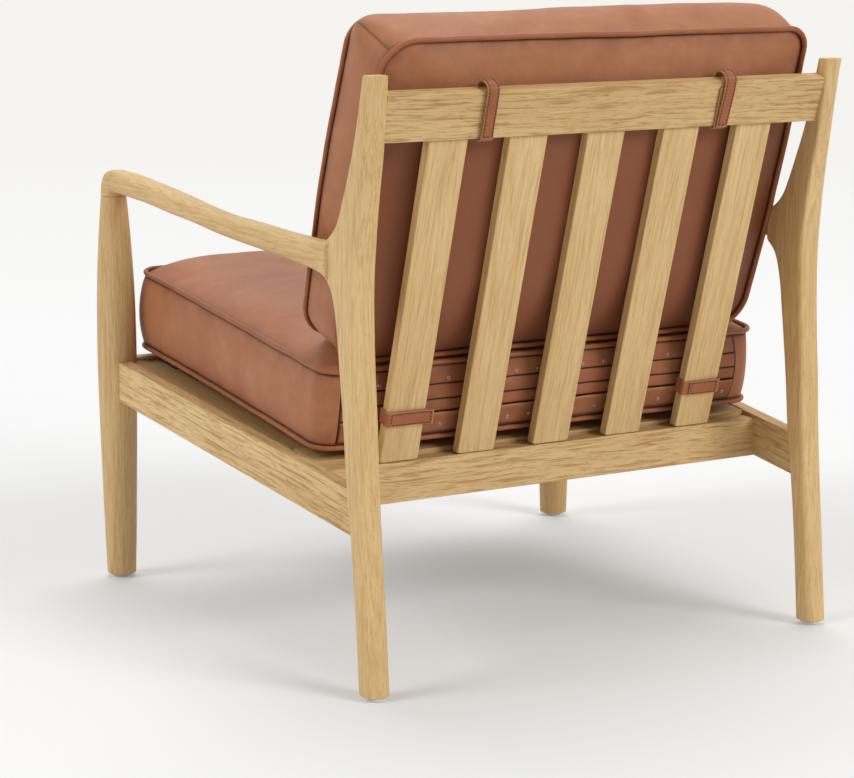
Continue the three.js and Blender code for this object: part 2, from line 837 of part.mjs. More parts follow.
// A stitched leather panel on the rear boxing, with three sewn ridges
function rearPanelGeometry() {
  const reach = seatCushionWidth / 2 - panelSideMargin;
  const isRear = ({ place, normal }) => normal.y > 1 / 2 && Math.abs(place.x) <= reach;
  const columns = seatCushion.outline.filter(isRear);
  const points = [];
  columns.forEach((column) => {
    panelRowShares.forEach(([share]) => {
      points.push(seatCushion.boxingPoint(column, share, fitGap));
    });
    panelRowShares.forEach(([share, ridgeShare]) => {
      const out = fitGap + panelThickness + ridgeShare * panelRidge;
      points.push(seatCushion.boxingPoint(column, share, out));
    });
  });
  const rows = panelRowShares.length;
  const step = 2 * rows;
  const triangles = [];
  const quad = (a, b, c, d) => triangles.push(a, b, c, a, c, d);
  for (let i = 0; i + 1 < columns.length; i += 1) {
    const at = i * step;
    const next = at + step;
    for (let k = 0; k + 1 < rows; k += 1) {
      quad(at + k, at + k + 1, next + k + 1, next + k);
      quad(at + rows + k, next + rows + k, next + rows + k + 1, at + rows + k + 1);
    }
    quad(at, next, next + rows, at + rows);
    quad(at + rows - 1, at + step - 1, next + step - 1, next + rows - 1);
  }
  const end = (columns.length - 1) * step;
  for (let k = 0; k + 1 < rows; k += 1) {
    quad(k, rows + k, rows + k + 1, k + 1);
    quad(end + k, end + k + 1, end + rows + k + 1, end + rows + k);
  }
  return closedGeometry(points, triangles);
}

// Straps

function roundedLoop(path, left, right, bottom, top, footRadius, headRadius) {
  path.moveTo(left + footRadius, bottom);
  path.lineTo(right - footRadius, bottom);
  path.absarc(right - footRadius, bottom + footRadius, footRadius, -Math.PI / 2, 0, false);
  path.lineTo(right, top - headRadius);
  path.absarc(right - headRadius, top - headRadius, headRadius, 0, Math.PI / 2, false);
  path.lineTo(left + headRadius, top);
  path.absarc(left + headRadius, top - headRadius, headRadius, Math.PI / 2, Math.PI, false);
  path.lineTo(left, bottom + footRadius);
  path.absarc(left + footRadius, bottom + footRadius, footRadius, Math.PI, 1.5 * Math.PI, false);
  return path;
}

function strapLoop(left, right, bottom, top, width, headRadius) {
  const shape = roundedLoop(
    new THREE.Shape(),
    left - strapThickness,
    right + strapThickness,
    bottom - strapThickness,
    top + strapThickness,
    strapBendRadius + strapThickness,
    headRadius + strapThickness,
  );
  const hole = new THREE.Path();
  shape.holes.push(roundedLoop(hole, left, right, bottom, top, strapBendRadius, headRadius));
  const options = { depth: width, bevelEnabled: false, curveSegments: strapBendSteps };
  return new THREE.ExtrudeGeometry(shape, options).translate(0, 0, -width / 2);
}

// Seen from the side: round the crest rail, arched loosely over its top
function crestStrapGeometry() {
  const front = -slatThickness - softGap;
  const rear = crestProud + softGap;
  const bottom = slatLength + fitGap - softGap;
  const top = slatLength + fitGap + crestHeight + crestStrapSlack;
  const loop = strapLoop(front, rear, bottom, top, crestStrapWidth, crestStrapArchRadius);
  const axes = new THREE.Matrix4().makeBasis(
    new THREE.Vector3(0, 1, 0),
    new THREE.Vector3(0, 0, 1),
    new THREE.Vector3(1, 0, 0),
  );
  return loop.applyMatrix4(axes);
}

// Seen from above: round a slat, with a top layer behind it that laps over or short of its inner edge
function slatStrapGeometry(sign, lap) {
  const half = slatWidth / 2 + softGap;
  const front = -slatThickness - softGap;
  const loop = strapLoop(-half, half, front, softGap, slatStrapWidth, strapBendRadius);
  const start = sign * half;
  const end = -sign * (half + lap);
  const low = new THREE.Vector3(
    Math.min(start, end),
    softGap + strapThickness / 2,
    -slatStrapWidth / 2,
  );
  const high = new THREE.Vector3(
    Math.max(start, end),
    softGap + 2 * strapThickness,
    slatStrapWidth / 2,
  );
  return geometryOf(joined(solidOf(loop), solidOf(box(low, high))));
}

// Assembly

const chair = new THREE.Group();
const seatGroup = new THREE.Group();
seatGroup.position.set(0, 0, railTopHeight);
seatGroup.rotation.x = -seatTilt;
const backGroup = new THREE.Group();
backGroup.position.set(0, backRailRearFace, backRailTop);
backGroup.rotation.x = -backLean;
chair.add(seatGroup, backGroup);

const glideProfile = [
  new THREE.Vector2(0, 0),
  new THREE.Vector2(glideDiameter / 2 - glideEdge, 0),
  new THREE.Vector2(glideDiameter / 2, glideEdge),
  new THREE.Vector2(glideDiameter / 2, glideHeight - fitGap),
  new THREE.Vector2(glideStemDiameter / 2, glideHeight - fitGap),
  new THREE.Vector2(glideStemDiameter / 2, glideHeight + glideStemLength),
  new THREE.Vector2(0, glideHeight + glideStemLength),
];

function addGlide(name, x, y) {
  const geometry = new THREE.LatheGeometry(glideProfile, legSides).rotateX(Math.PI / 2);
  const glide = meshOf(name, geometry, nylon);
  glide.position.set(x, y, 0);
  chair.add(glide);
}

const frontRailMortises = frontRailTenons(fitGap);
const backRailMortises = backRailTenons(fitGap);
const crestMortises = crestTenons(fitGap);

sides.forEach(({ word, sign }) => {
  const frontX = legLineX(0, sign);
  const rearX = (sign * rearLegSpan) / 2;
  const sideMortises = sideRailTenons(sign, fitGap);

  const frontLeg = cut(
    joined(frontLegSkin(sign, 0), elbowDowel(sign, 0)),
    sideMortises,
    frontRailMortises,
    glideBore(frontX, 0),
  );
  chair.add(meshOf("front_leg_" + word, geometryOf(frontLeg), oak));

  const rearLeg = cut(
    joined(rearLegSkin(sign, 0), spurSkin(sign)),
    sideMortises,
    crestMortises,
    armTenon(sign, fitGap),
    glideBore(rearX, legDepth),
  );
  chair.add(meshOf("rear_leg_" + word, geometryOf(rearLeg), oak));

  const arm = cut(joined(armSkin(sign), armTenon(sign, 0)), elbowDowel(sign, fitGap));
  chair.add(meshOf("arm_" + word, geometryOf(arm), oak));

  const sideRail = cut(
    joined(
      cut(sideRailBar(sign, 0), frontLegSkin(sign, fitGap), rearLegSkin(sign, fitGap)),
      sideRailTenons(sign, 0),
    ),
    backRailMortises,
  );
  chair.add(meshOf("side_rail_" + word, geometryOf(sideRail), oak));

  const cleat = cut(sideCleatBar(sign).intersect(cleatWindow()), frontLegSkin(sign, fitGap));
  chair.add(meshOf("side_cleat_" + word, geometryOf(cleat), oak));

  addGlide("front_glide_" + word, frontX, 0);
  addGlide("rear_glide_" + word, rearX, legDepth);
});

const bothFrontLegs = joined(frontLegSkin(1, fitGap), frontLegSkin(-1, fitGap));
const bothRearLegs = joined(rearLegSkin(1, fitGap), rearLegSkin(-1, fitGap));
const bothSideRails = joined(sideRailBar(1, fitGap), sideRailBar(-1, fitGap));

const frontRail = joined(cut(frontRailBar(), bothFrontLegs), frontRailTenons(0));
chair.add(meshOf("front_rail", geometryOf(frontRail), oak));

const backRail = joined(cut(backRailBar(), bothSideRails), backRailTenons(0));
chair.add(meshOf("back_rail", geometryOf(cut(backRail, ...slatMortises())), oak));

const crestRail = joined(cut(crestBar(), bothRearLegs), crestTenons(0));
chair.add(meshOf("crest_rail", geometryOf(cut(crestRail, ...slatMortises())), oak));

const rearCleat = cut(rearCleatBar(), bothSideRails);
chair.add(meshOf("rear_cleat", geometryOf(rearCleat), oak));

seatGroup.add(...bandMeshes());

slatPlaces().forEach((x, i) => {
  const slat = meshOf("back_slat_" + (i + 1), slatGeometry(), oak);
  slat.position.x = x;
  backGroup.add(slat);
});

sides.forEach(({ word, sign }) => {
  const crestStrap = meshOf("crest_strap_" + word, crestStrapGeometry(), leather);
  crestStrap.position.x = sign * crestStrapOffset;
  const slatStrapShape = slatStrapGeometry(sign, slatStrapLap[word]);
  const slatStrap = meshOf("slat_strap_" + word, slatStrapShape, leather);
  slatStrap.position.set(sign * slatPlaces()[0], 0, slatStrapHeight);
  backGroup.add(crestStrap, slatStrap);
});

// The seat cushion lies on the bands, its front edge ahead of the front legs' centre line
const bandTop = fitGap + bandThickness - cleatDrop;
const seatCushionGroup = new THREE.Group();
seatCushionGroup.position.set(
  0,
  seatCushionLength / 2 - seatCushionOverhang,
  bandTop + softGap + seatCushionBottomCrown - weltSeat,
);
seatCushionGroup.add(
  meshOf("seat_cushion", seatCushion.geometry(), leather),
  meshOf("seat_welt_top", seatCushion.welt(true), leatherDark),
  meshOf("seat_welt_bottom", seatCushion.welt(false), leatherDark),
  meshOf("seat_rear_panel", rearPanelGeometry(), leatherDark),
);
seatGroup.add(seatCushionGroup);

// The back cushion leans on the slats and is lowered until it meets the seat cushion's crown
const backCushionY = -slatThickness - softGap - backCushionRearCrown + weltSeat;

function backCushionFoot() {
  const toBack = new THREE.Matrix4().copy(backFrame).invert();
  const placeOf = (x, y, z) => {
    const inSeat = seatCushion.raked(x, y, z).add(seatCushionGroup.position);
    return seatPoint(inSeat.x, inSeat.y, inSeat.z).applyMatrix4(toBack);
  };
  const level = weltSeat + seatCushion.height;
  const crownHead = -seatCushionCrownForward;
  const places = [placeOf(0, seatCushionLength / 2, level + weltSeat + weltRadius)];
  for (let i = 0; i < footSteps; i += 1) {
    const edgeShare = i / footSteps;
    const y = THREE.MathUtils.lerp(crownHead, seatCushion.halfLength, edgeShare);
    const crown = seatCushionTopCrown * crownShare(edgeShare, seatCushionTopPower);
    places.push(placeOf(0, y, level + crown));
  }
  const front = backCushionY - backCushionBoxing - weltRadius;
  const heights = places.filter((place) => place.y > front).map((place) => place.z);
  return Math.max(...heights) + weltRadius + softGap;
}

const backCushionGroup = new THREE.Group();
backCushionGroup.position.set(0, backCushionY, backCushionFoot() + backCushionHeight / 2);
backCushionGroup.rotation.x = Math.PI / 2;
backCushionGroup.add(
  meshOf("back_cushion", backCushion.geometry(), leather),
  meshOf("back_welt_front", backCushion.welt(true), leatherDark),
  meshOf("back_welt_rear", backCushion.welt(false), leatherDark),
);
backGroup.add(backCushionGroup);

// The origin goes to the floor under the middle of the chair
chair.updateMatrixWorld(true);
const bounds = new THREE.Box3().setFromObject(chair);
chair.position.y = -(bounds.min.y + bounds.max.y) / 2;

export default chair;
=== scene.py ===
import itertools
import math

import bmesh
import bpy
import numpy as np
from mathutils import Matrix, Vector, noise


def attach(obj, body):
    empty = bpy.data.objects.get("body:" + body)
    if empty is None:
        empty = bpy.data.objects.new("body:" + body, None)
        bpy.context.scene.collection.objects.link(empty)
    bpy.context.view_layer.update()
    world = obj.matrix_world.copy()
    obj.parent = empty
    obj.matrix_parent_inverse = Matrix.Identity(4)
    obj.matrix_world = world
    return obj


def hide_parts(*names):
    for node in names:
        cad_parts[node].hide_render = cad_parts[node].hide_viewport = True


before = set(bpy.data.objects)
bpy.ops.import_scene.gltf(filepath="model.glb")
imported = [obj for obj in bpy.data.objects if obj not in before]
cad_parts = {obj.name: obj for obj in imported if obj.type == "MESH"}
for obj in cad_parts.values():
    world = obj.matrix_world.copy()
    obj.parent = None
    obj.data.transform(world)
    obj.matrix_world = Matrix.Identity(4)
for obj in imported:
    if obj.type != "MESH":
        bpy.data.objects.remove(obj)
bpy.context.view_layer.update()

# Shapes are worked out in millimetres in the chair's own frame, whose Y starts at the front legs.
CHAIR_Y = -304.83
SIDES = (("left", 1), ("right", -1))


# Small maths helpers

def smooth_curve(xs, ys, at):
    """A cubic through the rows of a profile that adds no bumps between them."""
    xs, ys, at = (np.asarray(v, float) for v in (xs, ys, at))
    step = np.diff(xs)
    slope = np.diff(ys) / step
    tangent = np.zeros_like(ys)
    tangent[0], tangent[-1] = slope[0], slope[-1]
    for i in range(1, len(xs) - 1):
        if slope[i - 1] * slope[i] > 0:
            a, b = 2 * step[i] + step[i - 1], step[i] + 2 * step[i - 1]
            tangent[i] = (a + b) / (a / slope[i - 1] + b / slope[i])
    k = np.clip(np.searchsorted(xs, at, side="right") - 1, 0, len(step) - 1)
    t = (at - xs[k]) / step[k]
    return (
        (2 * t**3 - 3 * t**2 + 1) * ys[k]
        + (t**3 - 2 * t**2 + t) * step[k] * tangent[k]
        + (3 * t**2 - 2 * t**3) * ys[k + 1]
        + (t**3 - t**2) * step[k] * tangent[k + 1]
    )


def rising(value, start, end):
    """0 at the start and 1 at the end, smoothly."""
    t = np.clip((value - start) / (end - start), 0, 1)
    return t * t * (3 - 2 * t)


def unit(vectors):
    """Vectors of the same direction and of length 1."""
    return vectors / np.linalg.norm(vectors, axis=-1, keepdims=True)


def turn_x(angle, offset):
    """A 4x4 that turns about X and then moves."""
    c, s = math.cos(angle), math.sin(angle)
    m = np.eye(4)
    m[1, 1], m[1, 2], m[2, 1], m[2, 2] = c, -s, s, c
    m[:3, 3] = offset
    return m


def placed(matrix, points):
    points = np.asarray(points, float)
    return points @ matrix[:3, :3].T + matrix[:3, 3]


def cloud(x, y, z=0.0, seed=0.0):
    """Smooth noise from -1 to 1 for one point."""
    return noise.noise(Vector((x, y, z + 17.3 * seed)))


def clouds(flat, seed, *layers):
    """Noise summed at flat points. Each layer gives its strength, size and level."""
    return np.array(
        [sum(a * cloud(x / size, y / size, z, seed) for a, size, z in layers) for x, y in flat]
    )


# Mesh helpers

def linked(name, data):
    """A new object in the scene."""
    obj = bpy.data.objects.new(name, data)
    bpy.context.scene.collection.objects.link(obj)
    return obj


def build(name, node, points, faces, body, slot, material, outward=True, **layers):
    """A smooth mesh that rides on a body in place of a node. Layers are values by vertex."""
    mesh = bpy.data.meshes.new(name)
    world = (np.asarray(points, float) + [0, CHAIR_Y, 0]) / 1000
    mesh.from_pydata(world.tolist(), [], [tuple(int(i) for i in f) for f in faces])
    if outward:
        bm = bmesh.new()
        bm.from_mesh(mesh)
        bmesh.ops.recalc_face_normals(bm, faces=bm.faces)
        bm.to_mesh(mesh)
        bm.free()
    mesh.polygons.foreach_set("use_smooth", [True] * len(mesh.polygons))
    for key, values in layers.items():
        values = np.asarray(values, np.float32)
        if values.ndim == 0:
            values = np.full(len(points), values)
        kind, field = ("FLOAT", "value") if values.ndim == 1 else ("FLOAT_VECTOR", "vector")
        mesh.attributes.new(key, kind, "POINT").data.foreach_set(field, values.ravel())
    mesh.materials.append(material)
    mesh.update()
    obj = linked(name, mesh)
    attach(obj, body)
    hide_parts(node)
    return obj


def faces_between(a, b, count):
    """Faces between two rings of points, from the number of each one's first point."""
    return [(a + i, a + (i + 1) % count, b + (i + 1) % count, b + i) for i in range(count)]


def skin(rings, wrap=False):
    """Points and faces of a skin over rings, closed at its ends or into a loop."""
    rings = np.asarray(rings, float)
    rows, count = rings.shape[:2]
    faces = []
    for r in range(rows if wrap else rows - 1):
        faces += faces_between(r * count, ((r + 1) % rows) * count, count)
    if not wrap:
        faces += [tuple(range(count))[::-1], tuple(range((rows - 1) * count, rows * count))]
    return rings.reshape(-1, 3), faces


def eased(rings, radius, end=True, steps=4, inner=0.8):
    """Rings whose end edges are rounded over, with a last ring inside each flat end."""
    rings = list(np.asarray(rings, float))

    def cap(last, before):
        centre = last.mean(0)
        out = unit(centre - before.mean(0))
        spokes = last - centre
        lengths = np.linalg.norm(spokes, axis=1, keepdims=True)
        turns = np.arange(steps + 1) / steps * math.pi / 2
        insets = [*radius * (1 - np.cos(turns)), radius + inner]
        sunk = [*radius * (1 - np.sin(turns)), 0]
        return [centre + spokes * (1 - i / lengths) - out * s for i, s in zip(insets, sunk)]

    if end:
        rings = rings[:-1] + cap(rings[-1], rings[-2])
    return cap(rings[0], rings[1])[::-1] + rings[1:]


CORNERS = ((1, 1), (-1, 1), (-1, -1), (1, -1))


def corner_section(half_a, half_b, radii, arc=5, lead=0.7):
    """A rounded rectangle as points (a, b), its radii in the order of CORNERS.

    A point on the flat leads each corner in and out, so that the flats stay flat.
    """
    points = []
    for quarter, (sign, radius) in enumerate(zip(CORNERS, radii)):
        angles = (quarter + np.arange(arc + 1) / arc) * math.pi / 2
        spokes = np.column_stack([np.cos(angles), np.sin(angles)])
        shape = np.multiply(sign, (half_a - radius, half_b - radius)) + radius * spokes
        points += [shape[0] - lead * spokes[-1], *shape, shape[-1] - lead * spokes[0]]
    return np.array(points)


def circle(count):
    angles = np.arange(count) / count * 2 * math.pi
    return np.column_stack([np.cos(angles), np.sin(angles)])


def oval_section(half_a, half_b, power, count=56):
    """An oval as points (a, b). A power of 2 is an ellipse, and more is squarer."""
    around = circle(count)
    return np.sign(around) * np.abs(around) ** (2 / power) * [half_a, half_b]


def level(section, x, y, z):
    """A section laid flat at height z, its middle at x and y."""
    return np.column_stack([section[:, 0] + x, section[:, 1] + y, np.full(len(section), float(z))])


def standing(section, centre, direction):
    """A section across X and along a direction."""
    return centre + section[:, :1] * [1, 0, 0] + section[:, 1:] * direction


def run_along(path):
    """The length of a path up to each of its points."""
    steps = np.linalg.norm(np.diff(path, axis=0), axis=1)
    return np.concatenate([[0], np.cumsum(steps)])


def tube(path, radius, up, sides=14):
    """Rings of a round tube along a closed path."""
    along = unit(np.roll(path, -1, 0) - np.roll(path, 1, 0))
    across = unit(np.cross(along, up))
    up = np.cross(across, along)
    c, s = circle(sides).T[:, None, :, None]
    return path[:, None] + radius * (across[:, None] * c + up[:, None] * s)


# Materials

class Nodes:
    """Short calls for making the nodes of a material or of the world."""

    def __init__(self, name="", tree=None):
        self.tree = tree
        if tree is None:
            self.material = bpy.data.materials.new(name)
            self.material.use_nodes = True
            self.tree = self.material.node_tree
            self.shader = self.tree.nodes["Principled BSDF"]

    def fill(self, node, sockets):
        """Gives each input a link, a colour or a value."""
        for key, value in sockets.items():
            socket = node.inputs[key]
            if isinstance(value, bpy.types.NodeSocket):
                self.tree.links.new(value, socket)
            else:
                socket.default_value = (*value, 1) if socket.type == "RGBA" else value

    def add(self, kind, sockets, **settings):
        """A new node of a kind, with its inputs and settings."""
        node = self.tree.nodes.new("ShaderNode" + kind)
        for key, value in settings.items():
            setattr(node, key, value)
        self.fill(node, sockets)
        return node

    def attribute(self, name, output="Fac"):
        """A layer that was kept on the vertices."""
        return self.add("Attribute", {}, attribute_name=name).outputs[output]

    def place(self):
        return self.add("TexCoord", {}).outputs["Object"]

    def noise(self, source, scale, detail=2.0, rough=0.5, distortion=0.0, output="Fac"):
        """Noise over a vector. A scale of three numbers stretches it."""
        if isinstance(scale, tuple):
            mapping = self.add("Mapping", {"Vector": source, "Scale": scale})
            source, scale = mapping.outputs["Vector"], 1.0
        sockets = {"Vector": source, "Scale": scale, "Detail": detail, "Roughness": rough}
        return self.add("TexNoise", {**sockets, "Distortion": distortion}).outputs[output]

    def ramp(self, source, stops):
        """Colours by value, from stops of place and colour."""
        node = self.add("ValToRGB", {"Fac": source})
        ramp = node.color_ramp
        while len(ramp.elements) < len(stops):
            ramp.elements.new(0.5)
        for element, (place, colour) in zip(ramp.elements, stops):
            element.position = place
            element.color = (*colour, 1)
        return node.outputs["Color"]

    def spread(self, source, low, high, most=1.0, least=0.0):
        """Values from low to high, laid over the range from least to most and held there."""
        sockets = {0: source, 1: low, 2: high, 3: least, 4: most}
        return self.add("MapRange", sockets).outputs[0]

    def maths(self, kind, a, b=0.0):
        return self.add("Math", {0: a, 1: b}, operation=kind).outputs[0]

    def mix(self, factor, a, b):
        """Colour a, with b over it by the factor."""
        sockets = {0: factor, 6: a, 7: b}
        return self.add("Mix", sockets, data_type="RGBA").outputs[2]

    def mix_shader(self, factor, a, b):
        return self.add("MixShader", {0: factor, 1: a, 2: b}).outputs[0]

    def bump(self, height, strength, distance, **under):
        """A relief by height, over the Normal of another one if it is given."""
        sockets = {"Height": height, "Strength": strength, "Distance": distance, **under}
        return self.add("Bump", sockets).outputs[0]

    def finished(self, colour, rough, normal, **more):
        """The material, with its shader's inputs set. In a name, _ stands for a space."""
        more = {key.replace("_", " "): value for key, value in more.items()}
        self.fill(self.shader, {"Base Color": colour, "Roughness": rough, "Normal": normal, **more})
        return self.material


def oak_material():
    """Oak, its grain along X of the grain layer, in metres along, across and through the board."""
    n = Nodes("oak")
    straight = n.attribute("grain", "Vector")
    bend = n.noise(straight, (7, 16, 16), output="Color")
    sway = {0: bend, 1: (0.0, 0.008, 0.008), 2: straight}
    grain = n.add("VectorMath", sway, operation="MULTIPLY_ADD").outputs["Vector"]
    tone = n.noise(grain, (1.6, 12, 12), 2, 0.5, 0.3)
    rings = n.noise(grain, (1.4, 40, 30), 1, 0.4, 0.4)
    bands = n.maths("SINE", n.maths("MULTIPLY", rings, 62.0))
    lines = n.noise(grain, (14, 420, 320), 2, 0.55, 0.2)
    fibre = n.noise(grain, (32, 950, 950), 3, 0.65, 0.2)
    pores = n.noise(grain, (55, 1100, 1100), 2, 0.6, 0.1)
    coarse = n.attribute("coarse")
    pale = (0.86, 0.65, 0.35)
    tones = [(0.3, (0.665, 0.435, 0.185)), (0.5, (0.73, 0.50, 0.228)), (0.72, (0.775, 0.555, 0.27))]
    colour = n.ramp(tone, tones)
    colour = n.mix(n.spread(bands, 0.2, 1.0, 0.34), colour, (0.58, 0.335, 0.115))
    streaks = n.maths("MULTIPLY", n.spread(lines, 0.52, 0.66, 0.9), coarse)
    colour = n.mix(streaks, colour, (0.42, 0.225, 0.075))
    colour = n.mix(n.spread(lines, 0.45, 0.32, 0.22), colour, pale)
    colour = n.mix(n.spread(fibre, 0.52, 0.75, 0.26), colour, (0.46, 0.26, 0.095))
    colour = n.mix(n.spread(fibre, 0.45, 0.25, 0.2), colour, pale)
    specks = n.maths("MULTIPLY", n.spread(pores, 0.56, 0.68, 0.75), coarse)
    colour = n.mix(specks, colour, (0.26, 0.13, 0.04))
    # Dark: a browner tone, which on some pieces is painted shade.
    colour = n.mix(n.attribute("dark"), colour, (0.34, 0.18, 0.062))
    height = n.maths("SUBTRACT", fibre, n.spread(pores, 0.58, 0.75, 0.8))
    normal = n.bump(n.spread(lines, 0.66, 0.4), 0.35, 0.0007)
    rough = n.spread(fibre, 0.25, 0.75, 0.6, 0.44)
    normal = n.bump(height, 0.3, 0.0004, Normal=normal)
    return n.finished(colour, rough, normal, Specular_IOR_Level=0.3)


def leather_material(name, base, deep, pale, rough=0.47):
    """Waxed leather, browner near its seams from its burnish and from painted shade, near-black
    in painted crevice and groove shade and in its mitre seam lines, darker in painted shade
    behind the slats, pale on its cut rims, and with a painted highlight on the flap's fold.
    """
    n = Nodes(name)
    place = n.place()
    mottle = n.noise(place, 9, 4, 0.55, 0.8)
    fine = n.noise(place, 70, 4, 0.65, 0.3)
    brushed = n.noise(place, (14, 14, 60), 3, 0.6, 0.4)
    colour = n.ramp(mottle, [(0.3, deep), (0.5, base), (0.7, pale)])
    colour = n.mix(n.spread(fine, 0.35, 0.7, 0.45), colour, deep)
    colour = n.mix(n.spread(brushed, 0.4, 0.75, 0.25), colour, pale)
    # Browner near seams and corners: partly the leather's burnish, partly painted shade from the
    # welts.
    patch = n.spread(n.noise(place, 24, 3, 0.6, 1.0), 0.35, 0.65, 1.0, 0.15)
    brown = tuple(v * 0.72 for v in deep)
    colour = n.mix(n.maths("MULTIPLY", n.attribute("seam"), patch), colour, brown)
    # Painted shade on the back cushion's rear panel, where the slats and crest rail shade it.
    colour = n.mix(n.attribute("shade"), colour, (0.21, 0.066, 0.028))
    # Painted shade, near-black, in crevices beside the welts, in grooves and at tucked seams; also
    # dark mitre seam lines.
    colour = n.mix(n.attribute("stitch"), colour, (0.025, 0.006, 0.002))
    # Pale cut rims on the straps, and a painted highlight on the flap's fold.
    colour = n.mix(n.attribute("rim"), colour, (0.47, 0.25, 0.12))
    worn = n.noise(place, 16, 3, 0.6, 0.5)
    pebble = n.add("TexVoronoi", {"Vector": place, "Scale": 850}, feature="DISTANCE_TO_EDGE")
    grain = n.spread(pebble.outputs["Distance"], 0.0, 0.3)
    normal = n.bump(n.noise(place, (60, 60, 60), 5, 0.65, 0.6), 0.3, 0.0018)
    normal = n.bump(grain, 0.25, 0.00012, Normal=normal)
    rough = n.spread(worn, 0.3, 0.7, rough + 0.1, rough - 0.06)
    return n.finished(
        colour, rough, normal, Specular_IOR_Level=0.22, Coat_Weight=0.03, Coat_Roughness=0.5,
        Sheen_Weight=0.03, Sheen_Roughness=0.5,
    )


def webbing_material():
    """Black elastic with fine threads both ways."""
    n = Nodes("elastic_webbing")
    place = n.place()
    threads = []
    for direction, scale, distortion in (("X", 260, 0.5), ("Y", 150, 0.0)):
        sockets = {"Vector": place, "Scale": scale, "Distortion": distortion}
        wave = n.add("TexWave", sockets, bands_direction=direction)
        threads.append(wave.outputs["Fac"])
    knit = n.maths("MULTIPLY", *threads)
    tones = [(0.0, (0.022, 0.020, 0.018)), (0.5, (0.05, 0.045, 0.04)), (1.0, (0.10, 0.09, 0.08))]
    return n.finished(n.ramp(knit, tones), 0.9, n.bump(knit, 0.6, 0.0008))


def plain_material(name, low, high, rough, metallic=0.0):
    """A nearly even surface with a fine speckle."""
    n = Nodes(name)
    speckle = n.noise(n.place(), 400.0, 3, 0.6)
    colour = n.ramp(speckle, [(0.3, low), (0.7, high)])
    rough = n.spread(speckle, 0.3, 0.7, rough + 0.05, rough - 0.05)
    return n.finished(colour, rough, n.bump(speckle, 0.1, 0.0002), Metallic=metallic)


OAK = oak_material()
LEATHER = leather_material(
    "leather", (0.425, 0.17, 0.078), (0.36, 0.13, 0.054), (0.47, 0.205, 0.105)
)
PANEL = leather_material(
    "leather_panel", (0.36, 0.132, 0.056), (0.28, 0.09, 0.034), (0.42, 0.166, 0.08)
)
TRIM = leather_material(
    "leather_trim", (0.36, 0.12, 0.046), (0.275, 0.082, 0.028), (0.42, 0.152, 0.066), 0.42
)
WEBBING = webbing_material()
NYLON = plain_material("glide_nylon", (0.66, 0.66, 0.65), (0.74, 0.74, 0.73), 0.42)
STEEL = plain_material("eyelet_steel", (0.34, 0.345, 0.355), (0.46, 0.465, 0.475), 0.38, 1.0)
THREAD = plain_material("thread", (0.035, 0.011, 0.005), (0.07, 0.022, 0.01), 0.7)
# Painted shade: each eyelet's hole is a near-black disc.
PAINTED_HOLE_SHADE = plain_material("eyelet_hole_painted_shade", (0.010, 0.007, 0.006), (0.020, 0.014, 0.011), 0.9)


# The chair's planes: the seat frame's top tilts, and the back leans from the back rail's top

SEAT_TILT = math.radians(5.6)
BACK_LEAN = math.radians(16.3)
RAIL_TOP = 285
BACK_RAIL_TOP, BACK_RAIL_REAR = 231.97, 500
SEAT = turn_x(-SEAT_TILT, (0, 0, RAIL_TOP))
BACK = turn_x(-BACK_LEAN, (0, BACK_RAIL_REAR, BACK_RAIL_TOP))
UNMOVED = np.eye(4)

LEG_DEPTH = 617
FRONT_LEG_X, REAR_LEG_X = 330.5, 300
GLIDE_HEIGHT = 5
FRONT_LEG_TOP, REAR_LEG_TOP = 491.28, 677


def leg_line_x(back, sign):
    """X of the line from the front leg to the rear leg, at a distance behind the front leg."""
    return sign * (FRONT_LEG_X - (FRONT_LEG_X - REAR_LEG_X) * back / LEG_DEPTH)


# Oak pieces. Dark mixes in a browner tone, which on the front legs, the far side rail and the
# cleats is painted shade from the seat, and coarse is the strength of the grain's lines.

board_numbers = itertools.count(1)


def oak(name, node, rings, axes, dark=0.0, coarse=0.38, matrix=UNMOVED):
    """A piece of oak on the frame. Axes are the columns along, across and through its grain."""
    points, faces = skin(rings)
    k = next(board_numbers)
    figure = np.array([0.731 * k, 0.137 * (k * 7 % 11), 0.093 * (k * 5 % 13)])
    layers = {"grain": points[:, axes] / 1000 + figure, "coarse": coarse}
    layers["dark"] = dark(points) if callable(dark) else dark
    build(name, node, placed(matrix, points), faces, "frame", "oak", OAK, **layers)


def board(name, node, matrix, low, high, axis, ease, dark):
    """A board with eased edges, its length along the given axis."""
    low, high = np.asarray(low, float), np.asarray(high, float)
    a, b = [i for i in range(3) if i != axis]
    middle, half = (low + high) / 2, (high - low) / 2
    section = corner_section(half[a], half[b], [ease] * 4, 4)
    start, end = low[axis], high[axis]
    stations = [start, start + 3, *np.linspace(start, end, 9)[1:-1], end - 3, end]
    rings = np.zeros((len(stations), len(section), 3))
    rings[:, :, [a, b]] = section + middle[[a, b]]
    rings[:, :, axis] = np.array(stations)[:, None]
    oak(name, node, eased(rings, ease), [axis, a, b], dark, 0.95, matrix)


def front_leg(word, sign):
    """Turned, with a soft swell at the seat rails."""
    shares = [0, 0.11, 0.22, 0.41, 0.57, 0.68, 0.78, 0.89, 1]
    diameters = [36.0, 39.6, 42.4, 46.6, 48.9, 48.2, 45.6, 39.8, 31.6]
    at = np.linspace(0, 1, 60)
    rings = []
    for share, radius in zip(at, smooth_curve(shares, diameters, at) / 2):
        z = GLIDE_HEIGHT + share * (FRONT_LEG_TOP - GLIDE_HEIGHT)
        rings.append(level(oval_section(radius, radius, 2.12, 64), leg_line_x(0, sign), 0, z))
    # Painted shade: the front legs are browner, the far one much more, under the seat's shadow.
    dark = 0.16 if sign > 0 else 0.55
    oak("leg_front_" + word, "front_leg_" + word, eased(rings, 0.6), [2, 0, 1], dark)


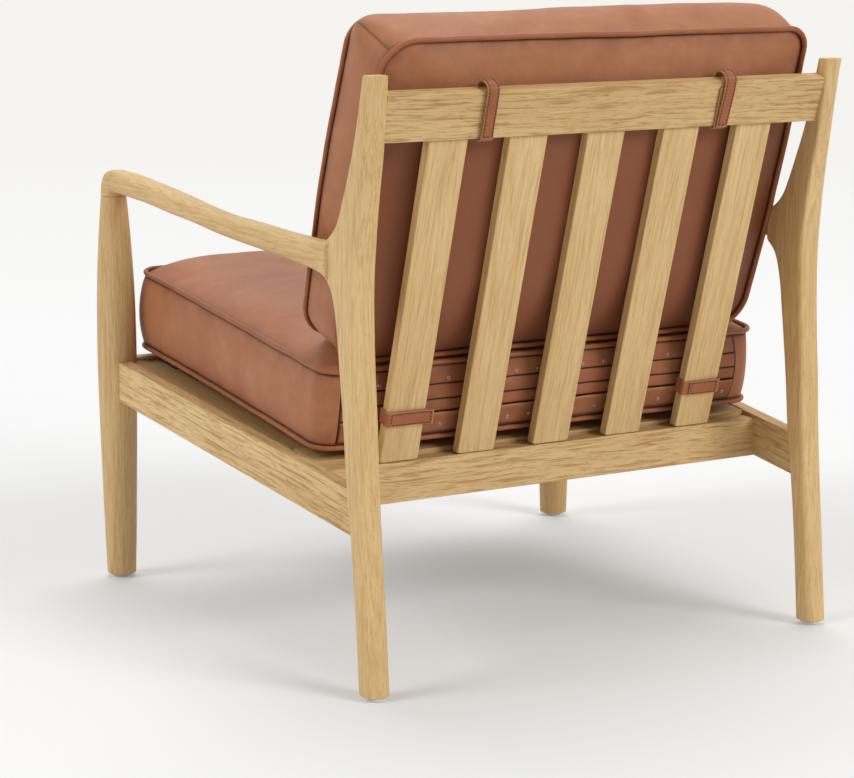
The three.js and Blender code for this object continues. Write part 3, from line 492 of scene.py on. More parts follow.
def arm(word, sign):
    """The elbow turns over the front leg, then the arm runs back to the rear leg's spur."""
    pivot = np.array([leg_line_x(0, sign), 21.5, 491.6])
    turns = [0, 0.2, 0.4, 0.55, 0.7, 0.85, 1]
    reaches = [31.4, 30.6, 31.6, 32.0, 30.6, 28.6, 27.5]
    rings = []
    for turn in np.linspace(0, 1, 22)[:-1]:
        reach = smooth_curve(turns, reaches, turn)
        angle = turn * math.pi / 2
        direction = np.array([0, -math.cos(angle), math.sin(angle)])
        section = oval_section((31.6 + 2.4 * turn) / 2, reach / 2, 2.2 + 0.4 * turn)
        rings.append(standing(section, pivot + direction * (5.7 + reach / 2), direction))
    back = [21.5, 60.1, 101, 178.8, 228.8, 300.7, 365.2, 429.6, 494, 520, 532, 542]
    top = [524.6, 523.3, 519.2, 511.7, 505.3, 498.6, 496.7, 494.2, 492.4, 492.2, 493.1, 495.2]
    foot = [497.1, 494.6, 492.6, 485.4, 481.6, 474.2, 469.5, 465.6, 461.4, 458.4, 455.4, 450.5]
    width = [34, 34, 34, 33.9, 33.6, 32.75, 31.75, 30.75, 29.8, 29.3, 29.0, 28.4]
    for y in np.linspace(back[0], back[-1], 96):
        high, low, w = (smooth_curve(back, row, y) for row in (top, foot, width))
        squareness = 2.6 + 1.6 * max(0.0, (y - 440) / 102)
        section = oval_section(w / 2, (high - low) / 2, squareness)
        centre = np.array([leg_line_x(y, sign), y, (high + low) / 2])
        rings.append(standing(section, centre, [0, 0, 1]))
    oak("arm_rest_" + word, "arm_" + word, eased(rings, 0.4, end=False), [1, 0, 2])


def rear_leg(word, sign):
    """Swept back at both ends, with a spur forward to the arm. Rows go by share of the height."""
    sweep = 80
    front_rows = [
        (0, -0.183), (0.09, -0.24), (0.19, -0.318), (0.27, -0.405), (0.35, -0.505), (0.43, -0.57),
        (0.5, -0.645), (0.56, -0.715), (0.6, -0.765), (0.637, -0.85), (0.653, -0.9125),
        (0.6637, -0.9875), (0.6704, -1.0625), (0.6741, -1.09), (0.7224, -1.09), (0.7262, -1.06),
        (0.7321, -0.9875), (0.7411, -0.881), (0.759, -0.744), (0.784, -0.6375), (0.825, -0.49),
        (0.87, -0.34), (0.92, -0.21), (0.96, -0.125), (1, -0.045),
    ]
    rear_rows = [
        (0, 0.181), (0.09, 0.105), (0.19, 0.018), (0.27, -0.055), (0.35, -0.115), (0.43, -0.155),
        (0.5, -0.205), (0.56, -0.238), (0.6, -0.252), (0.628, -0.257), (0.65, -0.257),
        (0.668, -0.252), (0.7205, -0.212), (0.735, -0.192), (0.7515, -0.174), (0.7675, -0.15),
        (0.79, -0.115), (0.825, -0.055), (0.87, 0.03), (0.92, 0.098), (0.96, 0.148), (1, 0.19),
    ]
    width_rows = [
        (0, 29), (0.66, 29), (0.722, 28.6), (0.76, 27.6), (0.825, 26), (0.92, 23.8), (1, 22),
    ]
    outer_rows = [(0, 9), (0.3, 7.5), (0.66, 7), (0.8, 10), (0.88, 12.5), (0.96, 9.5), (1, 5)]
    inner_rows = [(0, 9), (0.3, 6), (0.66, 4.5), (0.8, 3.2), (1, 2.6)]
    spur_rows = [
        (0, 9), (0.3, 6.5), (0.64, 5.5), (0.668, 3), (0.728, 3), (0.76, 5), (0.9, 4), (1, 3),
    ]
    at = np.unique(np.concatenate([np.linspace(0, 1, 90), np.linspace(0.62, 0.8, 110)]))
    tables = (front_rows, rear_rows, width_rows, outer_rows, inner_rows, spur_rows)
    curves = [smooth_curve(*zip(*rows), at) for rows in tables]
    rings = []
    for share, front, rear, width, outer, inner, spur in zip(at, *curves):
        front, rear = LEG_DEPTH + sweep * front, LEG_DEPTH + sweep * rear
        radii = [outer, inner, min(inner, spur), spur]
        if sign < 0:
            radii = [inner, outer, spur, min(inner, spur)]
        section = corner_section(width / 2, (rear - front) / 2, radii, 7)
        z = GLIDE_HEIGHT + share * (REAR_LEG_TOP - GLIDE_HEIGHT)
        rings.append(level(section, REAR_LEG_X * sign, (front + rear) / 2, z))
    oak("leg_rear_" + word, "rear_leg_" + word, eased(rings, 1.5), [2, 0, 1], 0.03)


def side_frame(sign, length):
    """A 4x4 whose Y runs along the side rail's top, from the front leg to the rear leg."""
    start = np.array([leg_line_x(0, sign), 0, RAIL_TOP])
    drop = length * math.sin(SEAT_TILT)
    end = np.array([leg_line_x(length, sign), length * math.cos(SEAT_TILT), RAIL_TOP - drop])
    along = unit(end - start)
    across = unit(np.cross(along, (0, 0, 1)))
    m = np.eye(4)
    m[:3, 0], m[:3, 1], m[:3, 2], m[:3, 3] = across, along, np.cross(across, along), start
    return m


def rails():
    """The seat's rails and cleats, and the crest rail, each as the low and high corner of a box."""
    for word, sign in SIDES:
        side = side_frame(sign, 597)
        # Painted shade: the far side rail is browner, and the cleats under the seat much browner.
        name, dark = "rail_side_" + word, 0.04 if sign > 0 else 0.22
        board(name, "side_rail_" + word, side, (-9, 6, -50), (9, 592, 0), 1, 1.2, dark)
        name, (left, right) = "cleat_side_" + word, sorted((-67.6 * sign, -9.6 * sign))
        low, high = (left, 12, -33), (right, 419, -2.9)
        board(name, "side_cleat_" + word, side, low, high, 1, 1.3, 0.62)
    back, cleat = leg_line_x(489, 1) - 8.4, leg_line_x(477.7, 1) - 10
    low, high = (478, BACK_RAIL_TOP - 47), (BACK_RAIL_REAR, BACK_RAIL_TOP)
    for name, node, matrix, reach, low, high, ease, dark in (
        ("rail_front", "front_rail", UNMOVED, 318, (-11, 230), (11, 284.6), 1.8, 0.2),
        ("rail_back", "back_rail", UNMOVED, back, low, high, 1.2, 0.18),
        # The rear cleat's browner tone is painted shade under the seat.
        ("cleat_rear", "rear_cleat", SEAT, cleat, (424, -38), (479.9, -0.5), 1.3, 0.35),
        ("rail_crest", "crest_rail", BACK, 288.5, (-12.5, CREST_FOOT), (4.5, 442.5), 1.3, 0.15),
    ):
        board(name, node, matrix, (-reach, *low), (reach, *high), 0, ease, dark)


SLAT_X = [203, 101.5, 0, -101.5, -203]
SLAT_HALF_WIDTH, SLAT_HALF_THICKNESS = 24.35, 6.25
CREST_FOOT, CREST_HEAD = 389.2, 441.7


def slats():
    """Each slat's foot is rounded over and cut level with the back rail's top."""
    rounding = 3.4
    for i, x in enumerate(SLAT_X, 1):
        rings = []
        for z in [0, 0.4, 1.1, 2.1, 3.3, 5, 60, 150, 240, 330, 386, 388.9]:
            inset = rounding * (1 - math.sqrt(1 - max(0.0, 1 - z / rounding) ** 2))
            halves = SLAT_HALF_WIDTH - inset, SLAT_HALF_THICKNESS - inset / 3
            ring = level(corner_section(*halves, [1.3] * 4, 4), x, -SLAT_HALF_THICKNESS, z)
            if z < 6:
                ring[:, 2] += 0.9 + ring[:, 1] * math.tan(BACK_LEAN)
            rings.append(ring)
        oak(f"slat_{i}", f"back_slat_{i}", rings, [2, 0, 1], darker_foot, matrix=BACK)


def darker_foot(points):
    return 0.05 + 0.15 * np.clip(1 - points[:, 2] / 170, 0, 1)


# Elastic bands and their staples

BAND_COUNT, BAND_HALF_WIDTH, BAND_HALF_THICKNESS = 7, 25, 0.9
BAND_FIRST, BAND_LAST = 42.3, 386.4
BAND_SIDE_MARGIN = 47


def band_places():
    """Each band's number, its middle's place back along the seat, and half its length."""
    for i in range(BAND_COUNT):
        back = BAND_FIRST + (BAND_LAST - BAND_FIRST) * i / (BAND_COUNT - 1)
        reach = leg_line_x(back + BAND_HALF_WIDTH, 1) - BAND_SIDE_MARGIN
        yield i + 1, back / math.cos(SEAT_TILT), reach


def bands():
    edge = corner_section(BAND_HALF_WIDTH, BAND_HALF_THICKNESS, [0.85] * 4, 2)
    for number, middle, reach in band_places():
        ring = edge + [middle, -2 * BAND_HALF_THICKNESS]
        xs = np.linspace(-reach, reach, 60)
        points, faces = skin([np.column_stack([np.full(len(ring), x), ring]) for x in xs])
        name, node = f"band_{number}", f"seat_band_{number}"
        build(name, node, placed(SEAT, points), faces, "frame", "webbing", WEBBING)


def glides():
    profile = [
        (0.01, 0), (7, 0), (9.6, 0.15), (10.8, 0.7), (11.4, 1.7), (11.5, 2.6), (11.4, 3.6),
        (11, 4.3), (10, 4.7), (4, 4.75), (3, 4.8), (3, 12),
    ]
    for where, y in (("front", 0), ("rear", LEG_DEPTH)):
        for word, sign in SIDES:
            x = leg_line_x(y, sign)
            points, faces = skin([level(circle(40) * r, x, y, z) for r, z in profile])
            build(f"glide_{where}_{word}", f"{where}_glide_{word}", points, faces, "frame",
                  "glide", NYLON)


# Cushions

WELT_SEAT = 2.687
TUCK = 1.6


def tucked(distance):
    """How far the cover turns out at a seam, at a distance from it."""
    return TUCK * np.exp(-distance / 1.1)


class Cushion:
    """A boxed cushion. X and Y lie along its panels, and Z runs up through it from the lower one.

    Size is width, length and boxing. Corners are the radii of the lower and of the upper panel, in
    the order of CORNERS. Top and bottom give a panel's crown, the power by which it falls to the
    edge, how far forward it stands and the height of its waves. Welts are the lower and upper
    welt's radius, and cant tips the upper one inward along its rear edge. Shade is the stretch of
    Y over which the painted shade on the lower panel, standing for the slats' shadow, fades out,
    and comes with mitre seams.
    """

    def __init__(self, body, matrix, size, corners, draw_in, bulge, shift, top, bottom, seed,
                 welts, cant=0.0, shade=None):
        self.body, self.matrix, self.seed, self.shade = body, matrix, seed, shade
        self.half = np.array(size[:2]) / 2 - WELT_SEAT
        self.height = size[2] - 2 * WELT_SEAT
        self.bulge, self.shift, self.welts, self.cant = bulge, shift, welts, cant
        self.top, self.bottom = top, bottom
        self.low, self.normal, self.mitre = self.outline(corners[0], draw_in)
        self.high = self.outline(corners[1], draw_in)[0]
        self.run = run_along(self.low)

    def outline(self, radii, draw_in):
        """Places round a panel's edge, their directions out, and 1 at a corner's middle."""
        places, normals, mitre = [], [], []
        half = self.half
        turns = [0, 0.1, 0.2, 0.3, 0.4, 0.46, 0.485, 0.5, 0.515, 0.54, 0.6, 0.7, 0.8, 0.9, 1]
        for quarter, radius in enumerate(radii):
            for turn in turns:
                angle = (quarter + turn) * math.pi / 2
                normal = np.array([math.cos(angle), math.sin(angle)])
                places.append(CORNERS[quarter] * (half - radius) + normal * radius)
                normals.append(normal)
                mitre.append(math.exp(-abs(turn - 0.5) * radius * 1.57 / 0.9))
            after = (quarter + 1) % 4
            start = places[-1]
            end = CORNERS[after] * (half - radii[after]) + normal * radii[after]
            count = int(2 * half[quarter % 2] / 8)
            for share in np.arange(1, count) / count:
                drawn = draw_in(normal) * math.sin(math.pi * share)
                places.append(start + (end - start) * share - normal * drawn)
                normals.append(normal)
                mitre.append(0.0)
        return np.array(places), np.array(normals), np.array(mitre)

    def wobble(self, top):
        """How far the sewn edge strays, outward and upward, round the outline."""
        k = self.seed + 5 * top
        place = self.high if top else self.low
        out = clouds(place, k, (0.6, 60, 0), (0.4, 24, 5))
        return out, clouds(place, k, (0.6, 45, 3), (0.3, 19, 8))

    def moved(self, points):
        """From flat cushion coordinates to the chair, past the shift that leans and skews it."""
        points = np.asarray(points, float)
        rise = np.clip((points[:, 2] - WELT_SEAT) / self.height, 0, 1)
        return placed(self.matrix, points + self.shift(points, rise, self.half[1]))

    def boxing_ring(self, share):
        """A ring round the boxing at a share of its height."""
        low, high = self.wobble(False), self.wobble(True)
        stray, lift = (a + (b - a) * share for a, b in zip(low, high))
        below, above = share * self.height, (1 - share) * self.height
        depth = min(below, above)
        calm = 0.9 * (1 - math.exp(-depth / 16))
        fold = 0.34 * math.exp(-depth / 15) * (1 - math.exp(-depth / 2))
        soft = np.array([
            calm * cloud(run / 85, share * 1.4, 0, self.seed + 11)
            + fold * cloud(run / 15, share * 0.8, 7, self.seed + 12)
            for run in self.run
        ])
        crease = -0.5 * self.mitre * min(1.0, depth / 4)
        place = self.low + (self.high - self.low) * share
        out = self.bulge(self.normal, place, share) + tucked(depth) + stray + soft + crease
        z = WELT_SEAT + share * self.height + lift + tucked(above) - tucked(below)
        return np.column_stack([place + self.normal * out[:, None], z])

    def panel_ring(self, share, top):
        """A ring on a panel, at a share of the way from its middle to its edge."""
        crown, power, forward, waves = self.top if top else self.bottom
        stray, lift = self.wobble(top)
        side = 1 if top else -1
        place = self.high if top else self.low
        from_edge = (1 - share) * np.linalg.norm(place, axis=1)
        flat = place * share + self.normal * (stray * share + tucked(from_edge))[:, None]
        flat[:, 1] -= forward * (1 - share)
        k = self.seed + side
        wave = clouds(flat, k + 21, (waves, 95, 0)) + clouds(flat, k + 31, (0.35 * waves, 34, 2))
        fold = np.exp(-from_edge / 18) * (1 - np.exp(-from_edge / 2))
        run = np.column_stack([self.run, np.zeros(len(self.run))])
        soft = wave * (1 - np.exp(-from_edge / 30)) + fold * clouds(run, k + 22, (0.45, 17, 5))
        rise = crown * (1 - share**power) + tucked(from_edge) + soft
        z = WELT_SEAT + (self.height if top else 0) + lift * share + side * rise
        return np.column_stack([flat, z])

    def cover(self, name):
        """The whole cover, with layers for browning near its seams, for painted crevice shade and
        mitre seam lines, and for painted shade behind the slats.
        """
        shares = 1 - np.linspace(0, 1, 34)[:-1] ** 1.6
        near_edge = [0.9985, 0.996, 0.991, 0.984, 0.974, 0.96]
        shares = np.unique(np.concatenate([shares, near_edge]))[:-1]
        near_seams = [0.008, 0.018, 0.032, 0.968, 0.982, 0.992]
        heights = np.unique(np.concatenate([np.linspace(0, 1, 19), near_seams]))
        bottom = [self.panel_ring(s, False) for s in shares]
        boxing = [self.boxing_ring(h) for h in heights]
        top = [self.panel_ring(s, True) for s in shares[::-1]]
        points, faces = skin([self.moved(r) for r in bottom + boxing + top])
        reach = np.linalg.norm(self.low, axis=1)
        panel = [(1 - s) * reach for s in shares]
        side = [np.full(len(self.low), min(h, 1 - h) * self.height) for h in heights]
        depth = np.concatenate(panel + side + panel[::-1])
        # Painted shade: a near-black line in the crevice beside each welt.
        stitch = np.exp(-np.maximum(0, depth - 2.3) / 1.1)
        shade = np.zeros(len(depth))
        if self.shade:
            # Painted shade on the lower panel behind the slats, fading out under the crest rail.
            up = np.concatenate([ring[:, 1] for ring in bottom])
            shade[:len(up)] = 0.86 * (1 - rising(up, *self.shade))
            mitres = np.tile(self.mitre, len(heights))
            at = slice(len(up), len(up) + len(mitres))
            # Mitre seams show as dark seam lines in the same layer.
            stitch[at] = np.maximum(stitch[at], 0.7 * mitres)
        # Seam browns the cover near its edges: partly burnish, partly painted shade.
        layers = {"seam": np.exp(-depth / 14), "stitch": stitch, "shade": shade}
        obj = build(name, self.body, points, faces, self.body, "leather", LEATHER, **layers)

    def welt(self, name, node, top):
        """The piping round a panel."""
        stray, lift = self.wobble(top)
        cant = self.cant * np.maximum(0, self.normal[:, 1]) ** 1.5 * top
        radius = self.welts[1 if top else 0]
        place = self.high if top else self.low
        flat = place + self.normal * (radius - 0.6 + stray - 2.2 * cant)[:, None]
        z = (2 * WELT_SEAT + self.height + 0.5 * cant - 0.4 if top else 0.4) + lift
        path = self.moved(np.column_stack([flat, z]))
        apart = np.linalg.norm(np.diff(path, axis=0), axis=1) > 0.3
        path = path[np.concatenate([[True], apart])]
        points, faces = skin(tube(path, radius, self.matrix[:3, 2]), wrap=True)
        build(name, node, points, faces, self.body, "leather_trim", TRIM, seam=0.1)

    def rear_face(self, xs, share, out):
        """Flat cushion coordinates on the rear boxing at the given X, some distance out from it."""
        ring = self.boxing_ring(share)[self.normal[:, 1] > 0.99]
        ring = ring[np.argsort(ring[:, 0])]
        y = np.interp(xs, ring[:, 0], ring[:, 1]) + out
        return np.column_stack([xs, y, np.interp(xs, ring[:, 0], ring[:, 2])])


def seat_bulge(normal, place, share):
    """Fuller at the corners and at the near side's front, and flatter at the far rear."""
    corner = np.abs(normal[:, 0] * normal[:, 1]) * 2
    far_rear = rising(-normal[:, 0], 0.3, 0.9) * rising(place[:, 1], 60, 200)
    near = rising(normal[:, 0], 0.3, 0.9) * rising(-place[:, 1], 100, 220)
    out = 6.4 + 1.4 * corner - 4.8 * far_rear + 2.0 * near
    return out * math.sin(math.pi * share) ** 0.5


def seat_shift(points, rise, half):
    """The rear leans back as it rises, the front of the top stands higher, and one foot is out."""
    along = points[:, 1] / half
    lean = 10.0 * rise * np.maximum(0, along)
    corner = rising(-points[:, 0], 180, 297) * rising(points[:, 1], 60, 240)
    aside = corner * (1.8 * rise - 6.0 * (1 - rise))
    return np.column_stack([aside, lean, 3.6 * rise * np.clip(0.5 - along / 2, 0, 1)])


def back_bulge(normal, place, share):
    """Fuller toward the front panel, most at one upper corner and least at the other."""
    up = np.maximum(0, normal[:, 1])
    fullness = np.where(normal[:, 0] > 0, 8.2, 3.5)
    corner = (np.abs(normal[:, 0]) * up * 2) ** 2 * fullness
    near, far = rising(place[:, 0], -60, 150), rising(-place[:, 0], 200, 262)
    crown = 14.6 - 4.4 * near - 3.0 * far
    inside = 0 < share < 1
    front, even = (math.sin(math.pi * share**p) ** 0.6 if inside else 0.0 for p in (1.9, 1.1))
    return (crown * up**2 + corner) * front + 4.6 * normal[:, 0] ** 2 * even


def back_shift(points, rise, half):
    """The back cushion has slumped a little to one side, and its front panel stands taller."""
    along = points[:, 1] / half
    return np.column_stack([-4.0 * along, 1.5 * rise * np.maximum(0, along), 0 * rise])


seat_cushion = Cushion(
    body="seat_cushion",
    matrix=SEAT @ turn_x(0, (0, 235, 14.01)),
    size=(594, 498, 92),
    corners=([22, 22, 22, 24], [22, 22, 22, 24.1]),
    draw_in=lambda normal: 2.0,
    bulge=seat_bulge,
    shift=seat_shift,
    top=(28.8, 6.0, 115.0, 0.9),
    bottom=(16.4, 12.0, 0.0, 0.3),
    seed=1,
    welts=(3.0, 3.0),
)
BACK_CUSHION_MIDDLE = 299.6
back_cushion = Cushion(
    body="back_cushion",
    matrix=BACK @ turn_x(math.pi / 2, (0, -38.21, BACK_CUSHION_MIDDLE)),
    size=(563, 376, 78),
    corners=([41, 25, 38, 38], [29, 42, 38, 38]),
    draw_in=lambda normal: -4.3 * abs(normal[0]),
    bulge=back_bulge,
    shift=back_shift,
    top=(25.5, 3.2, 0.0, 0.9),
    bottom=(27.3, 3.6, 0.0, 0.4),
    seed=2,
    welts=(3.1, 2.8),
    cant=1.0,
    # The painted shade behind the slats fades out where the crest rail covers the cushion.
    shade=(392 - BACK_CUSHION_MIDDLE, 436 - BACK_CUSHION_MIDDLE),
)


def cushions():
    for word, cushion, panels in (
        ("seat", seat_cushion, ("top", "bottom")),
        ("back", back_cushion, ("front", "rear")),
    ):
        cushion.cover("cushion_" + word)
        for panel, top in zip(panels, (True, False)):
            cushion.welt(f"welt_{word}_{panel}", f"{word}_welt_{panel}", top)


# The seat cushion's rear panel: a topstitched band, a flap along its foot and two rows of eyelets.
# Its rows give a share of the height, a distance out, how dark a groove is, in painted shade, and
# how pale an edge is, which on the flap's fold is a painted highlight.

def groove(middle, above):
    """A stitched groove and the swell on both sides of it."""
    half = [(0.016, 0.8), (0.009, 0.25), (0.005, 0.12)]
    # Painted shade, darkest in the groove's middle.
    darks = [0.1, 0.9, 1]
    rows = [(middle + 0.025, above, 0, 0)]
    rows += [(middle + s, out, dark, 0) for (s, out), dark in zip(half, darks)]
    rows += [(middle - s, out, dark, 0) for (s, out), dark in zip(half[::-1], darks[::-1])]
    return rows + [(middle - 0.025, 1.1, 0, 0)]


PANEL_ROWS = [
    (0.985, -0.4, 1, 0), (0.972, 0.5, 0.8, 0), (0.955, 0.9, 0.1, 0), (0.85, 0.9, 0, 0),
    *groove(0.73, 0.95), (0.63, 1.2, 0, 0), *groove(0.52, 1.1), (0.42, 1.2, 0, 0),
    (0.37, 1.0, 0, 0), (0.356, 0.5, 0.7, 0), (0.345, 0.1, 1, 0), (0.325, 0.1, 1, 0),
]
FLAP_ROWS = [
    (0.305, -0.2, 1, 0), (0.33, 0.3, 1, 0), (0.336, 1.5, 0.8, 0), (0.336, 2.3, 0, 0.3),
    (0.331, 3.1, 0, 0.45), (0.318, 3.4, 0, 0.35), (0.3, 3.3, 0, 0.1), (0.27, 2.9, 0, 0),
    (0.2, 2.5, 0, 0), (0.1, 2.4, 0, 0), (0.06, 2.1, 0.2, 0), (0.043, 1.3, 0.9, 0),
    (0.035, -0.2, 1, 0),
]


def panel_ends(share):
    """X of the panel's near and far seam, of which the far one follows a soft curve."""
    near = 276.0 + 1.5 * math.sin(share * 3)
    return near, -262.5 - 5.5 * math.sin(math.pi * share) ** 0.8


def strip(name, rows):
    """A part of the panel over its rows, tucked in at both end seams."""
    seam = [0, 0.0006, 0.0035, 0.0055, 0.0075, 0.012]
    deep = [1, 1, 0.95, 0.4, 0, 0]
    rise = [-0.6, 0.2, 0.2, 0.1, 0, 0]
    even = np.zeros(80)
    columns = np.concatenate([seam, np.linspace(0.02, 0.98, 80), 1 - np.array(seam[::-1])])
    tuck = np.concatenate([deep, even, deep[::-1]])
    base = np.concatenate([rise, even, rise[::-1]])
    points, stitch, rim = [], [], []
    for share, out, dark, pale in rows:
        near, far = panel_ends(share)
        xs = far + (near - far) * columns
        puff = 0.3 * np.array([cloud(x / 22, share * 5, 0, 41) for x in xs]) * (out > 0.5)
        flat = seat_cushion.rear_face(xs, share, (out + puff) * (1 - tuck) + base)
        points.append(seat_cushion.moved(flat))
        # Painted shade: dark in the grooves, above and under the flap, and where the ends tuck into
        # their seams.
        stitch.append(np.maximum(tuck, dark))
        # Painted highlight: the flap's fold is paler where light catches it.
        rim.append(pale * (1 - tuck))
    count = len(columns)
    corners = (r * count + i for r in range(len(rows) - 1) for i in range(count - 1))
    faces = [(a, a + 1, a + count + 1, a + count) for a in corners]
    points, stitch, rim = (np.concatenate(v) for v in (points, stitch, rim))
    build(name, "seat_rear_panel", points, faces, "seat_cushion", "leather_trim", PANEL,
          outward=False, seam=0.35, stitch=stitch, rim=rim)


def lathe_at(points, faces, centre, axis, profile, sides=18):
    """Adds a turned shape along an axis. Its profile gives radius and height."""
    axis = unit(np.asarray(axis, float))
    side = unit(np.cross(axis, (1, 0, 0.3)))
    around = circle(sides) @ [side, np.cross(axis, side)]
    start = len(points)
    for radius, height in profile:
        points.extend(centre + axis * height + radius * around)
    for a in range(start, len(points) - sides, sides):
        faces.extend(faces_between(a, a + sides, sides))


def rear_panel():
    strip("rear_panel_band", PANEL_ROWS)
    strip("rear_panel_flap", FLAP_ROWS)
    ring = [(0.9, -0.5), (0.95, 0.35), (1.3, 0.65), (1.8, 0.6), (2.25, 0.25), (2.35, -0.3)]
    core = [(0.01, 0.0), (1.0, 0.0)]
    pitch, up = 30.35, 0.03
    for word, share, first, out in (("upper", 0.80, -256.9, 1.1), ("lower", 0.155, -251.1, 2.6)):
        metal, hole = ([], []), ([], [])
        for i in range(18):
            x = first + pitch * i
            if not -254 < x < 268:
                continue
            here, above = (
                seat_cushion.moved(seat_cushion.rear_face(np.array([x]), at, out))[0]
                for at in (share, share + up)
            )
            axis = np.cross(above - here, (1, 0, 0))
            axis = axis if axis[1] > 0 else -axis
            lathe_at(*metal, here, axis, ring)
            lathe_at(*hole, here, axis, core)
        # The holes are discs of painted shade inside the eyelets.
        for name, shape, material in (("eyelets_", metal, STEEL), ("eyelet_hole_painted_shades_", hole, PAINTED_HOLE_SHADE)):
            build(name + word, "seat_rear_panel", *shape, "seat_cushion", "eyelet", material,
                  outward=False)


# Straps: one strip of leather each, wound round so that its end lies over its start, and stitched

STITCH_INSET = 1.9
STRIP_STEP = 1.6


def arc_points(centre, radius, start, end, steps=5):
    angles = np.radians(np.linspace(start, end, steps))
    return [(centre[0] + radius * math.cos(a), centre[1] + radius * math.sin(a)) for a in angles]


def resampled(path, step):
    """The same path in nearly equal steps."""
    path = np.asarray(path, float)
    run = run_along(path)
    at = np.linspace(0, run[-1], max(3, int(run[-1] / step) + 1))
    return np.stack([np.interp(at, run, path[:, k]) for k in range(path.shape[1])], axis=1)


def stitches(name, node, lines, matrix):
    """Short lengths of thread, half sunk, along lines of points."""
    points, faces = [], []
    for line in lines:
        line = resampled(line, 1.0)
        for i in range(0, len(line) - 3, 4):
            start, end = line[i], line[i + 3]
            half = np.linalg.norm(end - start) / 2
            profile = [(0.05, -half), (0.5, 0.3 - half), (0.62, 0), (0.5, half - 0.3), (0.05, half)]
            lathe_at(points, faces, (start + end) / 2, end - start, profile, 8)
    points = placed(matrix, points)
    build(name, node, points, faces, "frame", "leather_trim", THREAD, outward=False)


def strap(where, word, path, lift, matrix, width, thickness, sway, last, side, follow):
    """A strip along a path, stitched up to a step, along both edges and across both ends.

    Lift gives the two axes of the path's plane and the axis of the strip's width. Sway is how far
    the strip strays along its width, and follow how much of that the stitches take.
    """
    along = unit(np.gradient(path, axis=0))
    normal = np.stack([along[:, 1], -along[:, 0]], axis=1)
    stray = sway * np.sin(np.arange(len(path)) / len(path) * 5.0)
    section = corner_section(width / 2, thickness / 2, [0.55] * 4, 2)
    rings = [
        (section[:, :1] + aside) * lift[2] + (p + n * section[:, 1:]) @ lift[:2]
        for p, n, aside in zip(path, normal, stray)
    ]
    rim = [np.abs(section[:, 0]) > width / 2 - 0.5] * len(path)
    rim[0] = rim[-1] = np.ones(len(section))
    points, faces = skin(rings)
    name, node = f"strap_{where}_{word}", f"{where}_strap_{word}"
    points, rim = placed(matrix, points), np.concatenate(rim)
    build(name, node, points, faces, "frame", "leather_trim", TRIM, seam=0.2, rim=rim)
    keep = slice(2, last)
    face = (path[keep] + normal[keep] * side * (thickness / 2 + 0.05)) @ lift[:2]
    aside = lift[2] * (width / 2 - STITCH_INSET)
    lines = [np.linspace(face[at] + aside, face[at] - aside, 12) for at in (0, -1)]
    face = face + follow * stray[keep, None] * lift[2]
    lines = [face + aside, face - aside] + lines
    stitches(f"stitches_{where}_{word}", node, lines, matrix)


def crest_strap(word, sign):
    """Round the crest rail, arched over its top, with two layers behind it."""
    width, thickness, bend = 14.6, 2.3, 2.2
    front, rear = -13.2 - thickness / 2, 5.1 + thickness / 2
    over = rear + thickness + 0.3
    middle, reach = (front + over) / 2, (over - front) / 2
    path = [(over, CREST_FOOT + 0.5), (over, CREST_FOOT + 20), (over + 0.3, CREST_HEAD - 8)]
    for a in np.radians(np.linspace(0, 180, 15)):
        height = CREST_HEAD + 1.0 + 9.0 * math.sin(a) ** 0.85
        path.append((middle + reach * math.cos(a), height))
    path += [(front, CREST_HEAD - 10), (front, CREST_FOOT + 2)]
    path += arc_points((front + bend, CREST_FOOT - 0.2), bend, 180, 270)
    path += arc_points((rear - bend, CREST_FOOT - 0.2), bend, 270, 360)
    path += [(rear, CREST_FOOT + 3), (rear, CREST_HEAD - 6)]
    path = resampled(path, STRIP_STEP)
    lift = np.array([[0.0, 1, 0], [0, 0, 1], [1, 0, 0]])
    x, sway = (161.5, 0.5) if sign > 0 else (-149, -1.9)
    matrix, last = BACK @ turn_x(0, (x, 0, 0)), int(len(path) * 0.46)
    strap("crest", word, path, lift, matrix, width, thickness, sway, last, 1, 1)


def slat_strap(word, sign):
    """Round an outer slat, seen from above, with its end laid over toward the inner side."""
    width, thickness, bend = 17.2, 1.9, 2.0
    low, high = SLAT_X[0] - SLAT_HALF_WIDTH, SLAT_X[0] + SLAT_HALF_WIDTH
    front, rear = -13.1 - thickness / 2, 0.5 + thickness / 2
    over = rear + thickness + 0.25
    inner, outer = low - 0.6 - thickness / 2, high + 0.6 + thickness / 2
    end, lifted, height = (low - 8.0, 1.6, 56.8) if sign > 0 else (low + 7.0, 0, 53.5)
    path = [(end, over + lifted), ((end + low) / 2 + 3, over + lifted * 0.5625), (low + 8, over)]
    path += arc_points((outer - bend - 0.6, over - bend - 0.6), bend + 0.6, 90, 0)
    path += arc_points((outer - bend, front + bend), bend, 0, -90)
    path += arc_points((inner + bend, front + bend), bend, 270, 180)
    path += arc_points((inner + bend, rear - bend), bend, 180, 90)
    path += [(high - 14, rear)]
    path = resampled([(x * sign, y) for x, y in path], STRIP_STEP)
    matrix, last = BACK @ turn_x(0, (0, 0, height)), int((high - end) / STRIP_STEP) - 1
    strap("slat", word, path, np.eye(3), matrix, width, thickness, 0.4, last, -sign, 0)


def staples():
    """Three staples at each end of each band, through it into the cleat."""
    profile = [(0.05, -5.2), (0.5, -5.0), (0.5, 5.0), (0.05, 5.2)]
    points, faces = [], []
    for _, middle, reach in band_places():
        for sign in (1, -1):
            for offset in (-14, 0, 14):
                centre = np.array([sign * (reach - 9), middle + offset, -0.75])
                lathe_at(points, faces, centre, (0, 1, 0), profile, 8)
    points = placed(SEAT, points)
    build("band_staples", "seat_band_1", points, faces, "frame", "eyelet", STEEL, outward=False)


# The part

